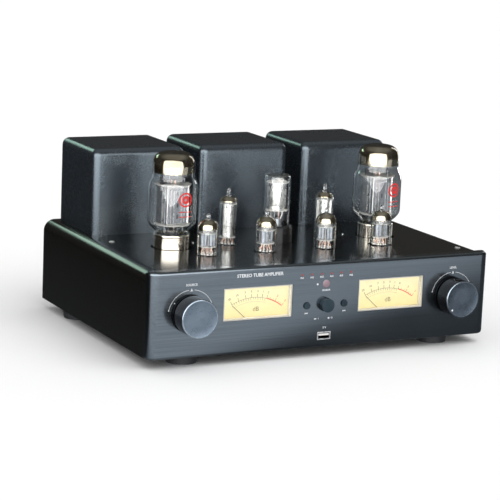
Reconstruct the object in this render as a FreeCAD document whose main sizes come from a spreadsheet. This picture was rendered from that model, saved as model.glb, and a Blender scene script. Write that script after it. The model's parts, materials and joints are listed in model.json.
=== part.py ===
# Stereo tube amplifier: chassis with a thick front panel, tubes on the top plate, transformers at the back.
# Frame: +X right, +Y to the rear, +Z up, origin on the ground under the middle of the amplifier.
import FreeCAD, Part
import os
import Sketcher

doc = FreeCAD.newDocument("tube_amplifier")

# ---------------------------------------------------------------- driving dimensions (mm)
DIMENSIONS = [
    ("panel_width", 390, "front panel, side to side"),
    ("panel_height", 88, "front panel, bottom edge to top edge"),
    ("panel_thickness", 12, "front panel"),
    ("panel_edge", 10, "rounding of the panel's upright edges"),
    ("panel_rim", 3, "rounding of the panel's top and bottom edges"),
    ("front_y", -143, "front face of the panel"),
    ("chassis_depth", 288, "front face of the panel to the rear edge of the shell"),
    ("seam", 2, "gap between the panel and the shell"),
    ("shell_wall", 2, "wall of the chassis shell"),
    ("shell_edge", 12, "rounding of the shell's long top edges"),
    ("shell_inset", 1, "shell narrower than the panel on each side"),
    ("plate_drop", 0.5, "top plate below the panel's top edge"),
    ("sheet", 1.5, "sheet metal of the tray, rear panel and covers"),
    ("rear_inset", 3, "rear panel ahead of the shell's rear edge"),
    ("clip_gap", 4, "top of the rear panel below the plate; its clipped corners are twice as deep"),
    ("slack", 0.3, "gap around a piece that is set into another"),
    ("foot_height", 10, "foot"),
    ("foot_radius", 16.5, "foot"),
    ("foot_recess", 6, "depth of the foot's hole for its screw head"),
    ("screw_head", 3.8, "radius of the screw heads underneath"),
    ("foot_screw", 1.95, "radius of a foot's screw"),
    ("top_screw", 1.9, "radius of a top plate screw"),
    ("top_screw_head", 3.2, "radius of a top plate screw's head"),
    ("vent_length", 20, "vent in the tray"),
    ("vent_width", 4, "vent in the tray"),
    ("vent_pitch_x", 30, "vent to vent, side to side"),
    ("vent_pitch_y", 45, "vent to vent, front to back"),
    ("vent_start", 70, "first row of vents behind the panel"),
    ("front_foot_x", 146, "front feet from the middle"),
    ("front_foot_y", 28, "front feet behind the panel's face"),
    ("rear_foot_x", 174, "rear feet from the middle"),
    ("rear_foot_y", 232, "rear feet behind the panel's face"),
    ("cover_width", 106, "transformer cover"),
    ("cover_depth", 95, "transformer cover"),
    ("cover_height", 91.5, "transformer cover above the top plate"),
    ("cover_edge", 8, "rounding of a cover's edges"),
    ("cover_pitch", 123.5, "cover to cover"),
    ("cover_shift", -2, "middle cover from the middle of the panel"),
    ("cover_y", 189.5, "front of the covers behind the panel's face"),
    ("core_width", 84, "transformer core"),
    ("core_depth", 40, "transformer core stack"),
    ("core_height", 70, "transformer core"),
    ("core_leg", 14, "outer leg of a core"),
    ("core_bolt_x", 35, "core bolts from the middle of a core, side to side"),
    ("core_bolt_y", 14, "core bolts from the middle of a core, front to back"),
    ("core_bolt", 2, "radius of a core bolt"),
    ("winding_depth", 74, "winding, front to back"),
    ("lead_hole", 7, "radius of the hole for a transformer's leads"),
    ("lead_hole_y", 34, "lead hole ahead of the middle of a core"),
    ("bias_x", 89.6, "bias points from the middle"),
    ("bias_point_y", 128.9, "bias test points behind the panel's face"),
    ("bias_hole_y", 111.6, "trimmer holes behind the panel's face"),
    ("bias_point", 1.4, "radius of a bias test point"),
    ("trimmer_screw", 1.5, "radius of a trimmer's screw"),
    ("trimmer_width", 9.5, "trimmer"),
    ("trimmer_drop", 12, "top of a trimmer below the plate"),
    ("rear_row_y", 114.6, "power, rectifier and tall tubes behind the panel's face"),
    ("front_row_y", 69.3, "small tubes behind the panel's face"),
    ("power_x", 121, "power tubes from the middle"),
    ("tall_x", 57, "tall tubes from the middle"),
    ("outer_small_x", 101.5, "outer small tubes from the middle"),
    ("inner_small_x", 35, "inner small tubes from the middle"),
    ("glass_wall", 1, "tube glass"),
    ("power_height", 100, "power tube above the top plate"),
    ("power_bulb", 26, "radius of the power tube's bulb"),
    ("power_neck", 21.9, "radius of the power tube's upper part"),
    ("power_throat", 15, "radius of the power tube's glass where it enters the base"),
    ("bulb_low", 24, "bottom of the bulb's widest part above the plate"),
    ("bulb_high", 66, "top of the bulb's widest part above the plate"),
    ("neck_low", 71, "foot of the straight upper part above the plate"),
    ("dome_edge", 13, "rounding of the power tube's top edge"),
    ("power_base", 19.3, "radius of the power tube's base"),
    ("power_base_top", 15, "top of the power tube's base above the plate"),
    ("anode_low", 25.4, "bottom of the power tube's anode above the plate"),
    ("anode_height", 40, "power tube's anode"),
    ("rectifier_height", 72, "rectifier tube above the top plate"),
    ("rectifier_glass", 13.9, "radius of the rectifier's glass"),
    ("rectifier_base", 17.4, "radius of the rectifier's base"),
    ("rectifier_base_top", 18.5, "top of the rectifier's base above the plate"),
    ("glass_seat", 4, "tube glass sunk into its base"),
    ("rectifier_edge", 4, "rounding of the rectifier's top edge"),
    ("rectifier_anode", 9.4, "radius of the rectifier's anode"),
    ("rectifier_anode_low", 34.5, "bottom of the rectifier's anode above the plate"),
    ("rectifier_anode_height", 29, "rectifier's anode"),
    ("octal_socket", 16.5, "radius of an octal socket"),
    ("key_radius", 3.8, "locating key of an octal base"),
    ("key_length", 9, "locating key below an octal base"),
    ("octal_circle", 8.73, "octal pins from the tube's axis"),
    ("octal_pin", 1.15, "radius of an octal pin"),
    ("octal_pin_length", 8, "octal pin"),
    ("nine_circle", 5.9, "nine-pin base, pins from the tube's axis"),
    ("nine_pin", 0.5, "radius of a nine-pin tube's pin"),
    ("nine_pin_length", 7, "nine-pin tube's pin"),
    ("small_radius", 10.8, "radius of a small tube's glass"),
    ("small_height", 36.5, "top of a small tube's dome above the plate"),
    ("tall_radius", 10, "radius of a tall tube's glass"),
    ("tall_height", 50.5, "top of a tall tube's dome above the plate"),
    ("small_anode_low", 9.3, "bottom of a small tube's anodes above the plate"),
    ("small_anode_high", 22.5, "top of a small tube's anodes above the plate"),
    ("small_can", 5.5, "radius around a small tube's anodes"),
    ("tall_anode_low", 8, "bottom of a tall tube's anode above the plate"),
    ("tall_anode_high", 42.6, "top of a tall tube's anode above the plate"),
    ("tall_can", 5.9, "radius of a tall tube's anode"),
    ("nine_socket", 10, "radius of a nine-pin socket"),
    ("nine_socket_height", 11, "nine-pin socket"),
    ("tip_radius", 1.6, "glass tip"),
    ("small_tip", 6.5, "height of a small tube's glass tip"),
    ("tall_tip", 9.5, "height of a tall tube's glass tip"),
    ("tube_gap", 1.8, "gap around a tube in the top plate"),
    ("base_drop", 10, "octal base below the top plate"),
    ("glass_drop", 2.5, "small glass below the top plate"),
    ("board_drop", 24, "main board below the top plate"),
    ("board_sheet", 1.6, "circuit boards"),
    ("control_z", 44.5, "row of knobs and buttons above the panel's bottom edge"),
    ("knob_x", 150.5, "knobs from the middle"),
    ("knob_radius", 19.5, "knob"),
    ("knob_length", 20.5, "knob"),
    ("knob_gap", 1.5, "knob off the panel"),
    ("knob_step", 1.2, "knob's foot smaller than the knob"),
    ("knob_chamfer", 0.9, "edge of the knob's face"),
    ("knob_bore", 15, "depth of the knob's bore"),
    ("device_radius", 12.5, "encoder and potentiometer"),
    ("device_depth", 20, "encoder and potentiometer"),
    ("bush_radius", 4.4, "threaded bush of a control"),
    ("bush_length", 7, "bush ahead of the panel's back"),
    ("bush_room", 9, "radius of the pocket in the panel's back round a bush"),
    ("bush_room_depth", 8, "depth of that pocket"),
    ("shaft_radius", 3, "control shaft"),
    ("running_gap", 0.05, "radial clearance of a shaft in its bore"),
    ("window_x", 76.5, "meter windows from the middle"),
    ("window_z", 51, "middle of the meter windows above the panel's bottom edge"),
    ("window_width", 76.7, "meter window"),
    ("window_height", 33.5, "meter window"),
    ("meter_face", 6.5, "meter case behind the panel's face"),
    ("meter_width", 84, "meter case"),
    ("meter_low", 19, "bottom of the meter case above the panel's bottom edge"),
    ("meter_high", 71, "top of the meter case above the panel's bottom edge"),
    ("meter_depth", 28, "meter case"),
    ("liner_gap", 0.2, "meter liner off the sides of its window"),
    ("liner_wall", 1, "wall of the meter liner"),
    ("case_wall", 1.5, "wall of the meter case"),
    ("hub_radius", 2.6, "needle hub"),
    ("needle_tail", 4.5, "needle behind its pivot"),
    ("needle_width", 0.5, "needle"),
    ("pivot_z", 25.2, "needle pivot above the panel's bottom edge"),
    ("needle_length", 33, "needle"),
    ("needle_rest", 47.5, "needle left of upright at rest, degrees"),
    ("power_button_radius", 7, "power button"),
    ("power_button_out", 6.5, "power button ahead of the panel"),
    ("small_button_x", 21.5, "small buttons from the middle"),
    ("small_button_radius", 3.5, "small button"),
    ("small_button_out", 1.5, "small button ahead of the panel"),
    ("button_gap", 0.3, "gap around a button"),
    ("switch_back", 9, "switches behind the flange"),
    ("switch_depth", 12, "switch"),
    ("power_travel", 3, "travel of the power button"),
    ("small_travel", 1, "travel of a small button"),
    ("lens_z", 66, "remote-control lens above the panel's bottom edge"),
    ("lens_radius", 4.1, "remote-control lens"),
    ("lamp_z", 76.5, "lamp row above the panel's bottom edge"),
    ("lamp_pitch", 11.3, "lamp to lamp"),
    ("lamp_radius", 1, "lamp"),
    ("standby_x", -10.2, "stand-by lamp from the middle"),
    ("usb_z", 12, "USB socket above the panel's bottom edge"),
    ("usb_width", 15.2, "USB socket's shell"),
    ("usb_height", 8.2, "USB socket's shell"),
    ("usb_depth", 18.8, "USB socket's shell"),
    ("terminal_length", 20, "speaker terminal behind the rear edge"),
    ("terminal_pitch", 22, "speaker terminal to speaker terminal"),
    ("terminal_x", 118, "middle of the speaker terminals from the middle"),
    ("terminal_z", 44, "speaker terminals above the panel's bottom edge"),
    ("post_radius", 3, "speaker terminal's post"),
    ("cap_radius", 6.5, "speaker terminal's cap"),
    ("plug_bore", 2, "radius of a speaker terminal's plug bore"),
    ("jack_radius", 4.15, "outside of a phono jack"),
    ("jack_length", 9, "phono jack behind the rear panel"),
    ("jack_tail", 3.5, "radius of a phono jack where it passes the rear panel"),
    ("jack_pitch", 19, "phono jack to phono jack"),
    ("jack_low_z", 50, "lower row of phono jacks above the panel's bottom edge"),
    ("jack_high_z", 69, "upper row of phono jacks above the panel's bottom edge"),
    ("inlet_width", 27, "mains inlet"),
    ("inlet_height", 20, "mains inlet"),
    ("inlet_z", 24, "mains inlet above the panel's bottom edge"),
]

dims = doc.addObject("Spreadsheet::Sheet", "Dims")
for row, (alias, value, meaning) in enumerate(DIMENSIONS, start=1):
    dims.set(f"A{row}", meaning)
    dims.set(f"B{row}", str(value))
    dims.setAlias(f"B{row}", alias)
doc.recompute()

# Places that many pieces share, as expressions of the sheet.
BASE = "Dims.foot_height"
PLATE = "(Dims.foot_height + Dims.panel_height - Dims.plate_drop)"
PLATE_UNDER = f"({PLATE} - Dims.shell_wall)"
BOARD_TOP = f"({PLATE} - Dims.board_drop)"
PANEL_BACK = "(Dims.front_y + Dims.panel_thickness)"
FLANGE_BACK = f"({PANEL_BACK} + Dims.sheet)"
SHELL_FRONT = f"({PANEL_BACK} + Dims.seam)"
REAR = "(Dims.front_y + Dims.chassis_depth)"
REAR_PANEL_FRONT = f"({REAR} - Dims.rear_inset)"
REAR_PANEL_BACK = f"({REAR_PANEL_FRONT} + Dims.sheet)"
SHELL_SIDE = "(Dims.panel_width / 2 - Dims.shell_inset)"
INNER_SIDE = f"({SHELL_SIDE} - Dims.shell_wall)"
CONTROL_Z = f"({BASE} + Dims.control_z)"
REAR_ROW = "(Dims.front_y + Dims.rear_row_y)"
FRONT_ROW = "(Dims.front_y + Dims.front_row_y)"
COVER_FRONT = "(Dims.front_y + Dims.cover_y)"
COVER_MIDDLE = f"({COVER_FRONT} + Dims.cover_depth / 2)"
WINDOW_Z = f"({BASE} + Dims.window_z)"
METER_FACE = "(Dims.front_y + Dims.meter_face)"
COVER_PLACES = [f"(Dims.cover_shift + {side} * Dims.cover_pitch)" for side in (-1, 0, 1)]
SMALL_PLACES = ["(-Dims.outer_small_x)", "(-Dims.inner_small_x)", "Dims.inner_small_x", "Dims.outer_small_x"]
TALL_PLACES = ["(-Dims.tall_x)", "Dims.tall_x"]
OCTAL_PLACES = ["(-Dims.power_x)", "0", "Dims.power_x"]
LAMP_PLACES = [f"({step - 2.5} * Dims.lamp_pitch)" for step in range(6)]
LAMP_Z = f"({BASE} + Dims.lamp_z)"
LENS_Z = f"({BASE} + Dims.lens_z)"
USB_Z = f"({BASE} + Dims.usb_z)"
PIVOT_Z = f"({BASE} + Dims.pivot_z)"
BIAS_PLACES = ["(-Dims.bias_x)", "Dims.bias_x"]
BIAS_POINT_Y = "(Dims.front_y + Dims.bias_point_y)"
BIAS_HOLE_Y = "(Dims.front_y + Dims.bias_hole_y)"
TOP_SCREWS = [("-170", "(Dims.front_y + 154.6)"), ("174", "(Dims.front_y + 31.4)")]
SWITCH_FRONT = f"({FLANGE_BACK} + Dims.switch_back)"
TRAY_SIDE = f"({INNER_SIDE} - Dims.slack)"
INLET_X = "0"
INLET_Z = f"({BASE} + Dims.inlet_z)"
TERMINAL_Z = f"({BASE} + Dims.terminal_z)"
TERMINAL_PLACES = [f"({side} * Dims.terminal_x + {step} * Dims.terminal_pitch)"
                   for side in (-1, 1) for step in (-0.5, 0.5)]
JACK_PLACES = [(f"({column} * Dims.jack_pitch)", f"({BASE} + Dims.jack_{row}_z)")
               for row in ("low", "high") for column in (-1.5, -0.5, 0.5, 1.5)]

# Cutters reach past the piece that they cut by these lengths.
PAST = 1
DRILL_BELOW = 20
DRILL_LENGTH = 30
TINY = 1e-4

nodes = []


# ---------------------------------------------------------------- helpers
def number(expression):
    """The value of an expression of the sheet, in millimetres or degrees."""
    value = dims.evalExpression(str(expression))
    return float(getattr(value, "Value", value))


def bind(thing, **sizes):
    for name, expression in sizes.items():
        thing.setExpression(name.replace("__", "."), str(expression))


def place(thing, x=0, y=0, z=0, turn=None):
    """Put a piece at x, y, z; turn is an axis vector and an angle."""
    if turn:
        axis, angle = turn
        thing.Placement = FreeCAD.Placement(FreeCAD.Vector(), FreeCAD.Rotation(FreeCAD.Vector(*axis), angle))
    bind(thing, Placement__Base__x=x, Placement__Base__y=y, Placement__Base__z=z)
    return thing


def node(thing, label):
    """Name a finished sub-part; the label names its file."""
    thing.Label = label
    nodes.append(thing)
    return thing


def block(x, y, z):
    """A box between low and high values on each axis."""
    solid = doc.addObject("Part::Box", "block")
    bind(solid, Length=f"({x[1]}) - ({x[0]})", Width=f"({y[1]}) - ({y[0]})", Height=f"({z[1]}) - ({z[0]})")
    return place(solid, x[0], y[0], z[0])


def centred(x, width):
    return (f"{x} - ({width}) / 2", f"{x} + ({width}) / 2")


TURNS = {"up": None, "back": ((1, 0, 0), -90), "front": ((1, 0, 0), 90), "right": ((0, 1, 0), 90)}


def rod(radius, length, x=0, y=0, z=0, way="up"):
    """A cylinder from a point along a direction."""
    solid = doc.addObject("Part::Cylinder", "rod")
    bind(solid, Radius=radius, Height=length)
    return place(solid, x, y, z, TURNS[way])


def group(pieces, name="group"):
    together = doc.addObject("Part::Compound", name)
    together.Links = pieces
    return together


def fuse(pieces, name="fuse"):
    joined = doc.addObject("Part::MultiFuse", name)
    joined.Shapes = pieces
    joined.Refine = True
    return joined


def cut(base, tools, name="cut"):
    result = doc.addObject("Part::Cut", name)
    result.Base = base
    result.Tool = tools[0] if len(tools) == 1 else group(tools)
    return result


def new_body(label):
    return doc.addObject("PartDesign::Body", label)


def new_sketch(body, role, offset="0"):
    """A sketch on one of the body's own origin planes, moved along the plane's normal."""
    sketch = body.newObject("Sketcher::SketchObject", "outline")
    plane = next(feature for feature in body.Origin.OriginFeatures if feature.Role == role)
    sketch.AttachmentSupport = (plane, [""])
    sketch.MapMode = "FlatFace"
    bind(sketch, AttachmentOffset__Base__z=offset)
    return sketch


def hold(sketch, kind, element, point, expression):
    """Tie one coordinate of a point to an expression."""
    value = number(expression)
    if abs(value) < TINY:
        axis = -2 if kind == "DistanceX" else -1
        sketch.addConstraint(Sketcher.Constraint("PointOnObject", element, point, axis))
        return
    constraint = sketch.addConstraint(Sketcher.Constraint(kind, -1, 1, element, point, value))
    sketch.setExpression(f"Constraints[{constraint}]", str(expression))


def outline(sketch, corners):
    """A closed outline of straight lines through corners, each a pair of expressions."""
    points = [FreeCAD.Vector(number(across), number(up), 0) for across, up in corners]
    first = sketch.GeometryCount
    count = len(points)
    for index in range(count):
        sketch.addGeometry(Part.LineSegment(points[index], points[(index + 1) % count]), False)
    for index in range(count):
        following = first + (index + 1) % count
        sketch.addConstraint(Sketcher.Constraint("Coincident", first + index, 2, following, 1))
    for index, (across, up) in enumerate(corners):
        hold(sketch, "DistanceX", first + index, 1, across)
        hold(sketch, "DistanceY", first + index, 1, up)


def rectangle(sketch, across, up):
    low_x, high_x = across
    low_y, high_y = up
    outline(sketch, [(low_x, low_y), (high_x, low_y), (high_x, high_y), (low_x, high_y)])


def circle(sketch, across, up, radius):
    centre = FreeCAD.Vector(number(across), number(up), 0)
    ring = sketch.addGeometry(Part.Circle(centre, FreeCAD.Vector(0, 0, 1), number(radius)), False)
    hold(sketch, "DistanceX", ring, 3, across)
    hold(sketch, "DistanceY", ring, 3, up)
    constraint = sketch.addConstraint(Sketcher.Constraint("Radius", ring, number(radius)))
    sketch.setExpression(f"Constraints[{constraint}]", str(radius))


def pad(body, sketch, length):
    feature = body.newObject("PartDesign::Pad", "pad")
    feature.Profile = sketch
    bind(feature, Length=length)
    doc.recompute()
    return feature


def pocket(body, sketch, length=None, reversed_way=False):
    """Cut a sketch into the body to a depth, or right through; the volume has to fall."""
    before = body.Shape.Volume
    feature = body.newObject("PartDesign::Pocket", "pocket")
    feature.Profile = sketch
    feature.Reversed = reversed_way
    if length is None:
        feature.Type = "ThroughAll"
    else:
        bind(feature, Length=length)
    doc.recompute()
    if body.Shape.Volume > before - TINY:
        raise ValueError(f"a pocket of {body.Label} cuts nothing")
    return feature


def round_edges(body, radius, wanted):
    """Fillet the body's edges that the test picks."""
    tip = body.Tip
    names = [f"Edge{index}" for index, edge in enumerate(tip.Shape.Edges, start=1) if wanted(edge)]
    if not names:
        raise ValueError(f"no edge of {body.Label} to round")
    feature = body.newObject("PartDesign::Fillet", "rounding")
    feature.Base = (tip, names)
    bind(feature, Radius=radius)
    doc.recompute()
    return feature


def turned(name, corners, x=0, y=0, z=0, way="up"):
    """A lathe-turned solid: corners are pairs of radius and height along its axis."""
    body = new_body(name)
    sketch = new_sketch(body, "XZ_Plane")
    outline(sketch, corners)
    feature = body.newObject("PartDesign::Revolution", "revolution")
    feature.Profile = sketch
    feature.ReferenceAxis = (sketch, ["V_Axis"])
    feature.Angle = 360
    doc.recompute()
    return place(body, x, y, z, TURNS[way])


def ring_edges(radius, height, slack=0.05):
    """Test for a circular edge of a turned body, by its radius and height."""
    def wanted(edge):
        curve = edge.Curve
        if not isinstance(curve, Part.Circle):
            return False
        return abs(curve.Radius - number(radius)) < slack and abs(curve.Center.z - number(height)) < slack
    return wanted


def is_upright(edge):
    box = edge.BoundBox
    return box.ZLength > PAST and box.XLength < TINY and box.YLength < TINY


# ---------------------------------------------------------------- chassis
def front_panel():
    body = new_body("front_panel")
    half = "Dims.panel_width / 2"
    plan = new_sketch(body, "XY_Plane", BASE)
    rectangle(plan, (f"-{half}", half), ("Dims.front_y", PANEL_BACK))
    pad(body, plan, "Dims.panel_height")
    front = number("Dims.front_y")
    back = number(PANEL_BACK)

    def is_front_upright(edge):
        return is_upright(edge) and abs(edge.BoundBox.YMin - front) < TINY

    def is_rim(edge):
        box = edge.BoundBox
        return box.ZLength < TINY and box.YMin < back - TINY

    round_edges(body, "Dims.panel_edge", is_front_upright)
    round_edges(body, "Dims.panel_rim", is_rim)
    through = new_sketch(body, "XZ_Plane", "-Dims.front_y")
    for side in (-1, 1):
        window = f"({side} * Dims.window_x)"
        rectangle(through, centred(window, "Dims.window_width"), centred(WINDOW_Z, "Dims.window_height"))
        circle(through, f"{side} * Dims.knob_x", CONTROL_Z, "Dims.shaft_radius + Dims.liner_wall")
        small_button_hole = "Dims.small_button_radius + Dims.button_gap"
        circle(through, f"{side} * Dims.small_button_x", CONTROL_Z, small_button_hole)
    circle(through, "0", CONTROL_Z, "Dims.power_button_radius + Dims.button_gap")
    circle(through, "0", LENS_Z, "Dims.lens_radius")
    for lamp_x in LAMP_PLACES:
        circle(through, lamp_x, LAMP_Z, "Dims.lamp_radius")
    circle(through, "Dims.standby_x", LENS_Z, "Dims.lamp_radius")
    rectangle(through, centred("0", "Dims.usb_width + 0.2"), centred(USB_Z, "Dims.usb_height + 0.2"))
    pocket(body, through)
    behind = new_sketch(body, "XZ_Plane", f"-{PANEL_BACK}")
    for side in (-1, 1):
        meter = f"({side} * Dims.window_x)"
        low = f"{BASE} + Dims.meter_low - Dims.slack"
        high = f"{BASE} + Dims.meter_high + Dims.slack"
        rectangle(behind, centred(meter, "Dims.meter_width + 2 * Dims.slack"), (low, high))
    pocket(body, behind, "Dims.panel_thickness - Dims.meter_face", reversed_way=True)
    bores = new_sketch(body, "XZ_Plane", f"-{PANEL_BACK}")
    for side in (-1, 1):
        circle(bores, f"{side} * Dims.knob_x", CONTROL_Z, "Dims.bush_room")
    pocket(body, bores, "Dims.bush_room_depth", reversed_way=True)
    node(body, "front_panel")


def plate_hole(radius, x, y):
    """A cutter right through the top plate."""
    return rod(radius, DRILL_LENGTH, x, y, f"{PLATE} - {DRILL_BELOW}")


def tube_holes():
    """Holes in the top plate that the tubes stand in."""
    power_hole = "Dims.power_base + Dims.tube_gap"
    holes = [plate_hole(power_hole, x, REAR_ROW) for x in ("(-Dims.power_x)", "Dims.power_x")]
    holes.append(plate_hole("Dims.rectifier_base + Dims.tube_gap", "0", REAR_ROW))
    holes += [plate_hole("Dims.small_radius + Dims.tube_gap", x, FRONT_ROW) for x in SMALL_PLACES]
    holes += [plate_hole("Dims.tall_radius + Dims.tube_gap", x, REAR_ROW) for x in TALL_PLACES]
    return holes


def core_bolt_places(middle):
    return [(f"{middle} + {right} * Dims.core_bolt_x", f"{COVER_MIDDLE} + {back} * Dims.core_bolt_y")
            for right in (-1, 1) for back in (-1, 1)]


def shell_holes():
    holes = tube_holes()
    for x in BIAS_PLACES:
        holes.append(plate_hole("Dims.bias_point + 0.2", x, BIAS_POINT_Y))
        holes.append(plate_hole("Dims.trimmer_screw + Dims.slack", x, BIAS_HOLE_Y))
    holes += [plate_hole("Dims.top_screw + 0.1", x, y) for x, y in TOP_SCREWS]
    for middle in COVER_PLACES:
        holes.append(plate_hole("Dims.lead_hole", middle, f"{COVER_MIDDLE} - Dims.lead_hole_y"))
        for x, y in core_bolt_places(middle):
            holes.append(plate_hole("Dims.core_bolt + 0.1", x, y))
    return holes


def rounded_bar(side, top, radius, front, back):
    """A long bar under the top plate's height with its two upper long edges rounded."""
    body = new_body("bar")
    plan = new_sketch(body, "XY_Plane", BASE)
    rectangle(plan, (f"-({side})", side), (front, back))
    pad(body, plan, f"{top} - {BASE}")
    height = number(top)

    def is_long_top(edge):
        box = edge.BoundBox
        flat = box.XLength < TINY and box.ZLength < TINY
        return flat and box.YLength > PAST and abs(box.ZMin - height) < TINY

    round_edges(body, radius, is_long_top)
    return body


def chassis_shell():
    outer = rounded_bar(SHELL_SIDE, PLATE, "Dims.shell_edge", SHELL_FRONT, REAR)
    inner_radius = "Dims.shell_edge - Dims.shell_wall"
    inner = rounded_bar(INNER_SIDE, PLATE_UNDER, inner_radius, f"{SHELL_FRONT} - {PAST}", f"{REAR} + {PAST}")
    node(cut(outer, [inner] + shell_holes()), "chassis_shell")


def bottom_tray():
    """Floor with long vents, and the front flange that the panel and the controls are fixed to."""
    floor_top = f"({BASE} + Dims.sheet)"
    floor = block((f"-{TRAY_SIDE}", TRAY_SIDE), (PANEL_BACK, REAR_PANEL_FRONT), (BASE, floor_top))
    flange_top = f"{PLATE} - Dims.shell_edge / 2"
    flange_side = f"({SHELL_SIDE} - Dims.shell_edge)"
    flange = block((f"-{flange_side}", flange_side), (PANEL_BACK, FLANGE_BACK), (BASE, flange_top))
    y = (f"{PANEL_BACK} - {PAST}", f"{FLANGE_BACK} + {PAST}")
    through = f"Dims.sheet + {2 * PAST}"
    half = "(Dims.window_x + Dims.meter_width / 2 + 3.5)"
    meters_low = f"{BASE} + Dims.usb_z - Dims.usb_height / 2 - 1.9"
    meters_high = f"{LAMP_Z} + 2.5"
    holes = [block((f"-{half}", half), y, (meters_low, meters_high))]
    for side in (-1, 1):
        holes.append(rod("Dims.bush_radius + 0.2", through, f"{side} * Dims.knob_x", y[0], CONTROL_Z, "back"))
    for x, foot_y in foot_places():
        holes.append(rod("Dims.foot_screw + 0.05", through, x, foot_y, f"{BASE} - {PAST}"))
    for row in range(3):
        for column in range(-4, 5):
            low_y = f"{PANEL_BACK} + Dims.vent_start + {row} * Dims.vent_pitch_y"
            holes.append(block(centred(f"{column} * Dims.vent_pitch_x", "Dims.vent_length"),
                               (low_y, f"{low_y} + Dims.vent_width"),
                               (f"{BASE} - {PAST}", f"{floor_top} + {PAST}")))
    node(cut(fuse([floor, flange]), holes), "bottom_tray")


def rear_panel():
    """Plate with clipped upper corners, and holes for the inlet, the terminals and the jacks."""
    top = f"({PLATE_UNDER} - Dims.clip_gap)"
    plate = block((f"-{TRAY_SIDE}", TRAY_SIDE), (REAR_PANEL_FRONT, REAR_PANEL_BACK), (BASE, top))
    front = f"({REAR_PANEL_FRONT} - {PAST})"
    y = (front, f"{REAR_PANEL_BACK} + {PAST}")
    through = f"Dims.sheet + {2 * PAST}"
    holes = [block(centred(INLET_X, "Dims.inlet_width"), y, centred(INLET_Z, "Dims.inlet_height"))]
    post_hole = "Dims.post_radius + Dims.slack"
    holes += [rod(post_hole, through, x, front, TERMINAL_Z, "back") for x in TERMINAL_PLACES]
    holes += [rod("Dims.jack_tail + 0.1", through, x, front, z, "back") for x, z in JACK_PLACES]
    for side in (-1, 1):
        inner = f"{side} * ({TRAY_SIDE} - Dims.shell_edge)"
        outer = f"{side} * ({TRAY_SIDE} + {PAST})"
        low, high = sorted((inner, outer), key=number)
        holes.append(block((low, high), y, (f"{top} - 2 * Dims.clip_gap", f"{top} + {PAST}")))
    node(cut(plate, holes), "rear_panel")


# ---------------------------------------------------------------- feet and screws
def foot_places():
    places = []
    for side in (-1, 1):
        places.append((f"({side} * Dims.front_foot_x)", "(Dims.front_y + Dims.front_foot_y)"))
        places.append((f"({side} * Dims.rear_foot_x)", "(Dims.front_y + Dims.rear_foot_y)"))
    return places


def feet():
    """Four round feet, each with a sunk hole for its screw."""
    pieces = []
    screws = []
    head_height = 2.5
    thread_past_tray = 4
    for x, y in foot_places():
        cone = doc.addObject("Part::Cone", "foot")
        bind(cone, Radius1="Dims.foot_radius - 1", Radius2="Dims.foot_radius", Height=BASE)
        place(cone, x, y)
        recess = rod("Dims.screw_head + 0.7", "Dims.foot_recess", x, y)
        bore = rod("Dims.foot_screw + 0.05", f"{BASE} + {PAST}", x, y)
        pieces.append(cut(cone, [fuse([recess, bore])]))
        head = rod("Dims.screw_head", head_height, x, y, f"Dims.foot_recess - {head_height}")
        shank_foot = "Dims.foot_recess - 0.1"
        shank = rod("Dims.foot_screw", f"{BASE} + {thread_past_tray} - Dims.foot_recess", x, y, shank_foot)
        screws.append(fuse([head, shank]))
    node(group(pieces), "rubber_feet")
    node(group(screws), "foot_screws")


def top_screws():
    """Low domed screws with a cross slot."""
    pieces = []
    dome_height = 1.3
    slot_width = 0.6
    slot_depth = 0.5
    length = 8
    for x, y in TOP_SCREWS:
        dome = doc.addObject("Part::Cone", "dome")
        bind(dome, Radius1="Dims.top_screw_head", Radius2="Dims.top_screw", Height=dome_height)
        place(dome, x, y, PLATE)
        shank = rod("Dims.top_screw", f"{length} + 0.1", x, y, f"{PLATE} - {length}")
        across = "2 * Dims.top_screw_head + 2"
        slot_z = (f"{PLATE} + {dome_height} - {slot_depth}", f"{PLATE} + {dome_height} + {PAST}")
        slots = [block(centred(x, slot_width), centred(y, across), slot_z),
                 block(centred(x, across), centred(y, slot_width), slot_z)]
        pieces.append(cut(fuse([dome, shank]), slots))
    node(group(pieces), "top_screws")


def bias_points():
    """A test pin and, under its hole, the screw of a trimmer, at each power tube."""
    pieces = []
    pin_above_plate = 0.8
    screw_length = 6
    trimmer_top = f"{PLATE} - Dims.trimmer_drop"
    pin_foot = f"({BOARD_TOP} + 1.8)"
    for x in BIAS_PLACES:
        pin = rod("Dims.bias_point", f"{PLATE} + {pin_above_plate} - {pin_foot}", x, BIAS_POINT_Y, pin_foot)
        screw = rod("Dims.trimmer_screw", screw_length, x, BIAS_HOLE_Y, trimmer_top)
        trimmer = block(centred(x, "Dims.trimmer_width"), centred(BIAS_HOLE_Y, "Dims.trimmer_width"),
                        (BOARD_TOP, trimmer_top))
        pieces += [pin, fuse([screw, trimmer])]
    node(group(pieces), "bias_points")


# ---------------------------------------------------------------- transformers
def cover_form(inset, middle):
    """A block with rounded edges, open to the plate, everywhere smaller by the inset."""
    body = new_body("cover_form")
    plan = new_sketch(body, "XY_Plane", f"-{inset}")
    half = f"(Dims.cover_width / 2 - {inset})"
    rectangle(plan, (f"-{half}", half), (inset, f"Dims.cover_depth - {inset}"))
    pad(body, plan, "Dims.cover_height")
    low = body.Tip.Shape.BoundBox.ZMin
    round_edges(body, f"Dims.cover_edge - {inset}", lambda edge: edge.BoundBox.ZMax > low + PAST)
    return place(body, middle, COVER_FRONT, PLATE)


def transformer_covers():
    for middle, side in zip(COVER_PLACES, ("left", "centre", "right")):
        cover = cut(cover_form("0", middle), [cover_form("Dims.sheet", middle)])
        node(cover, f"transformer_cover_{side}")


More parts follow.
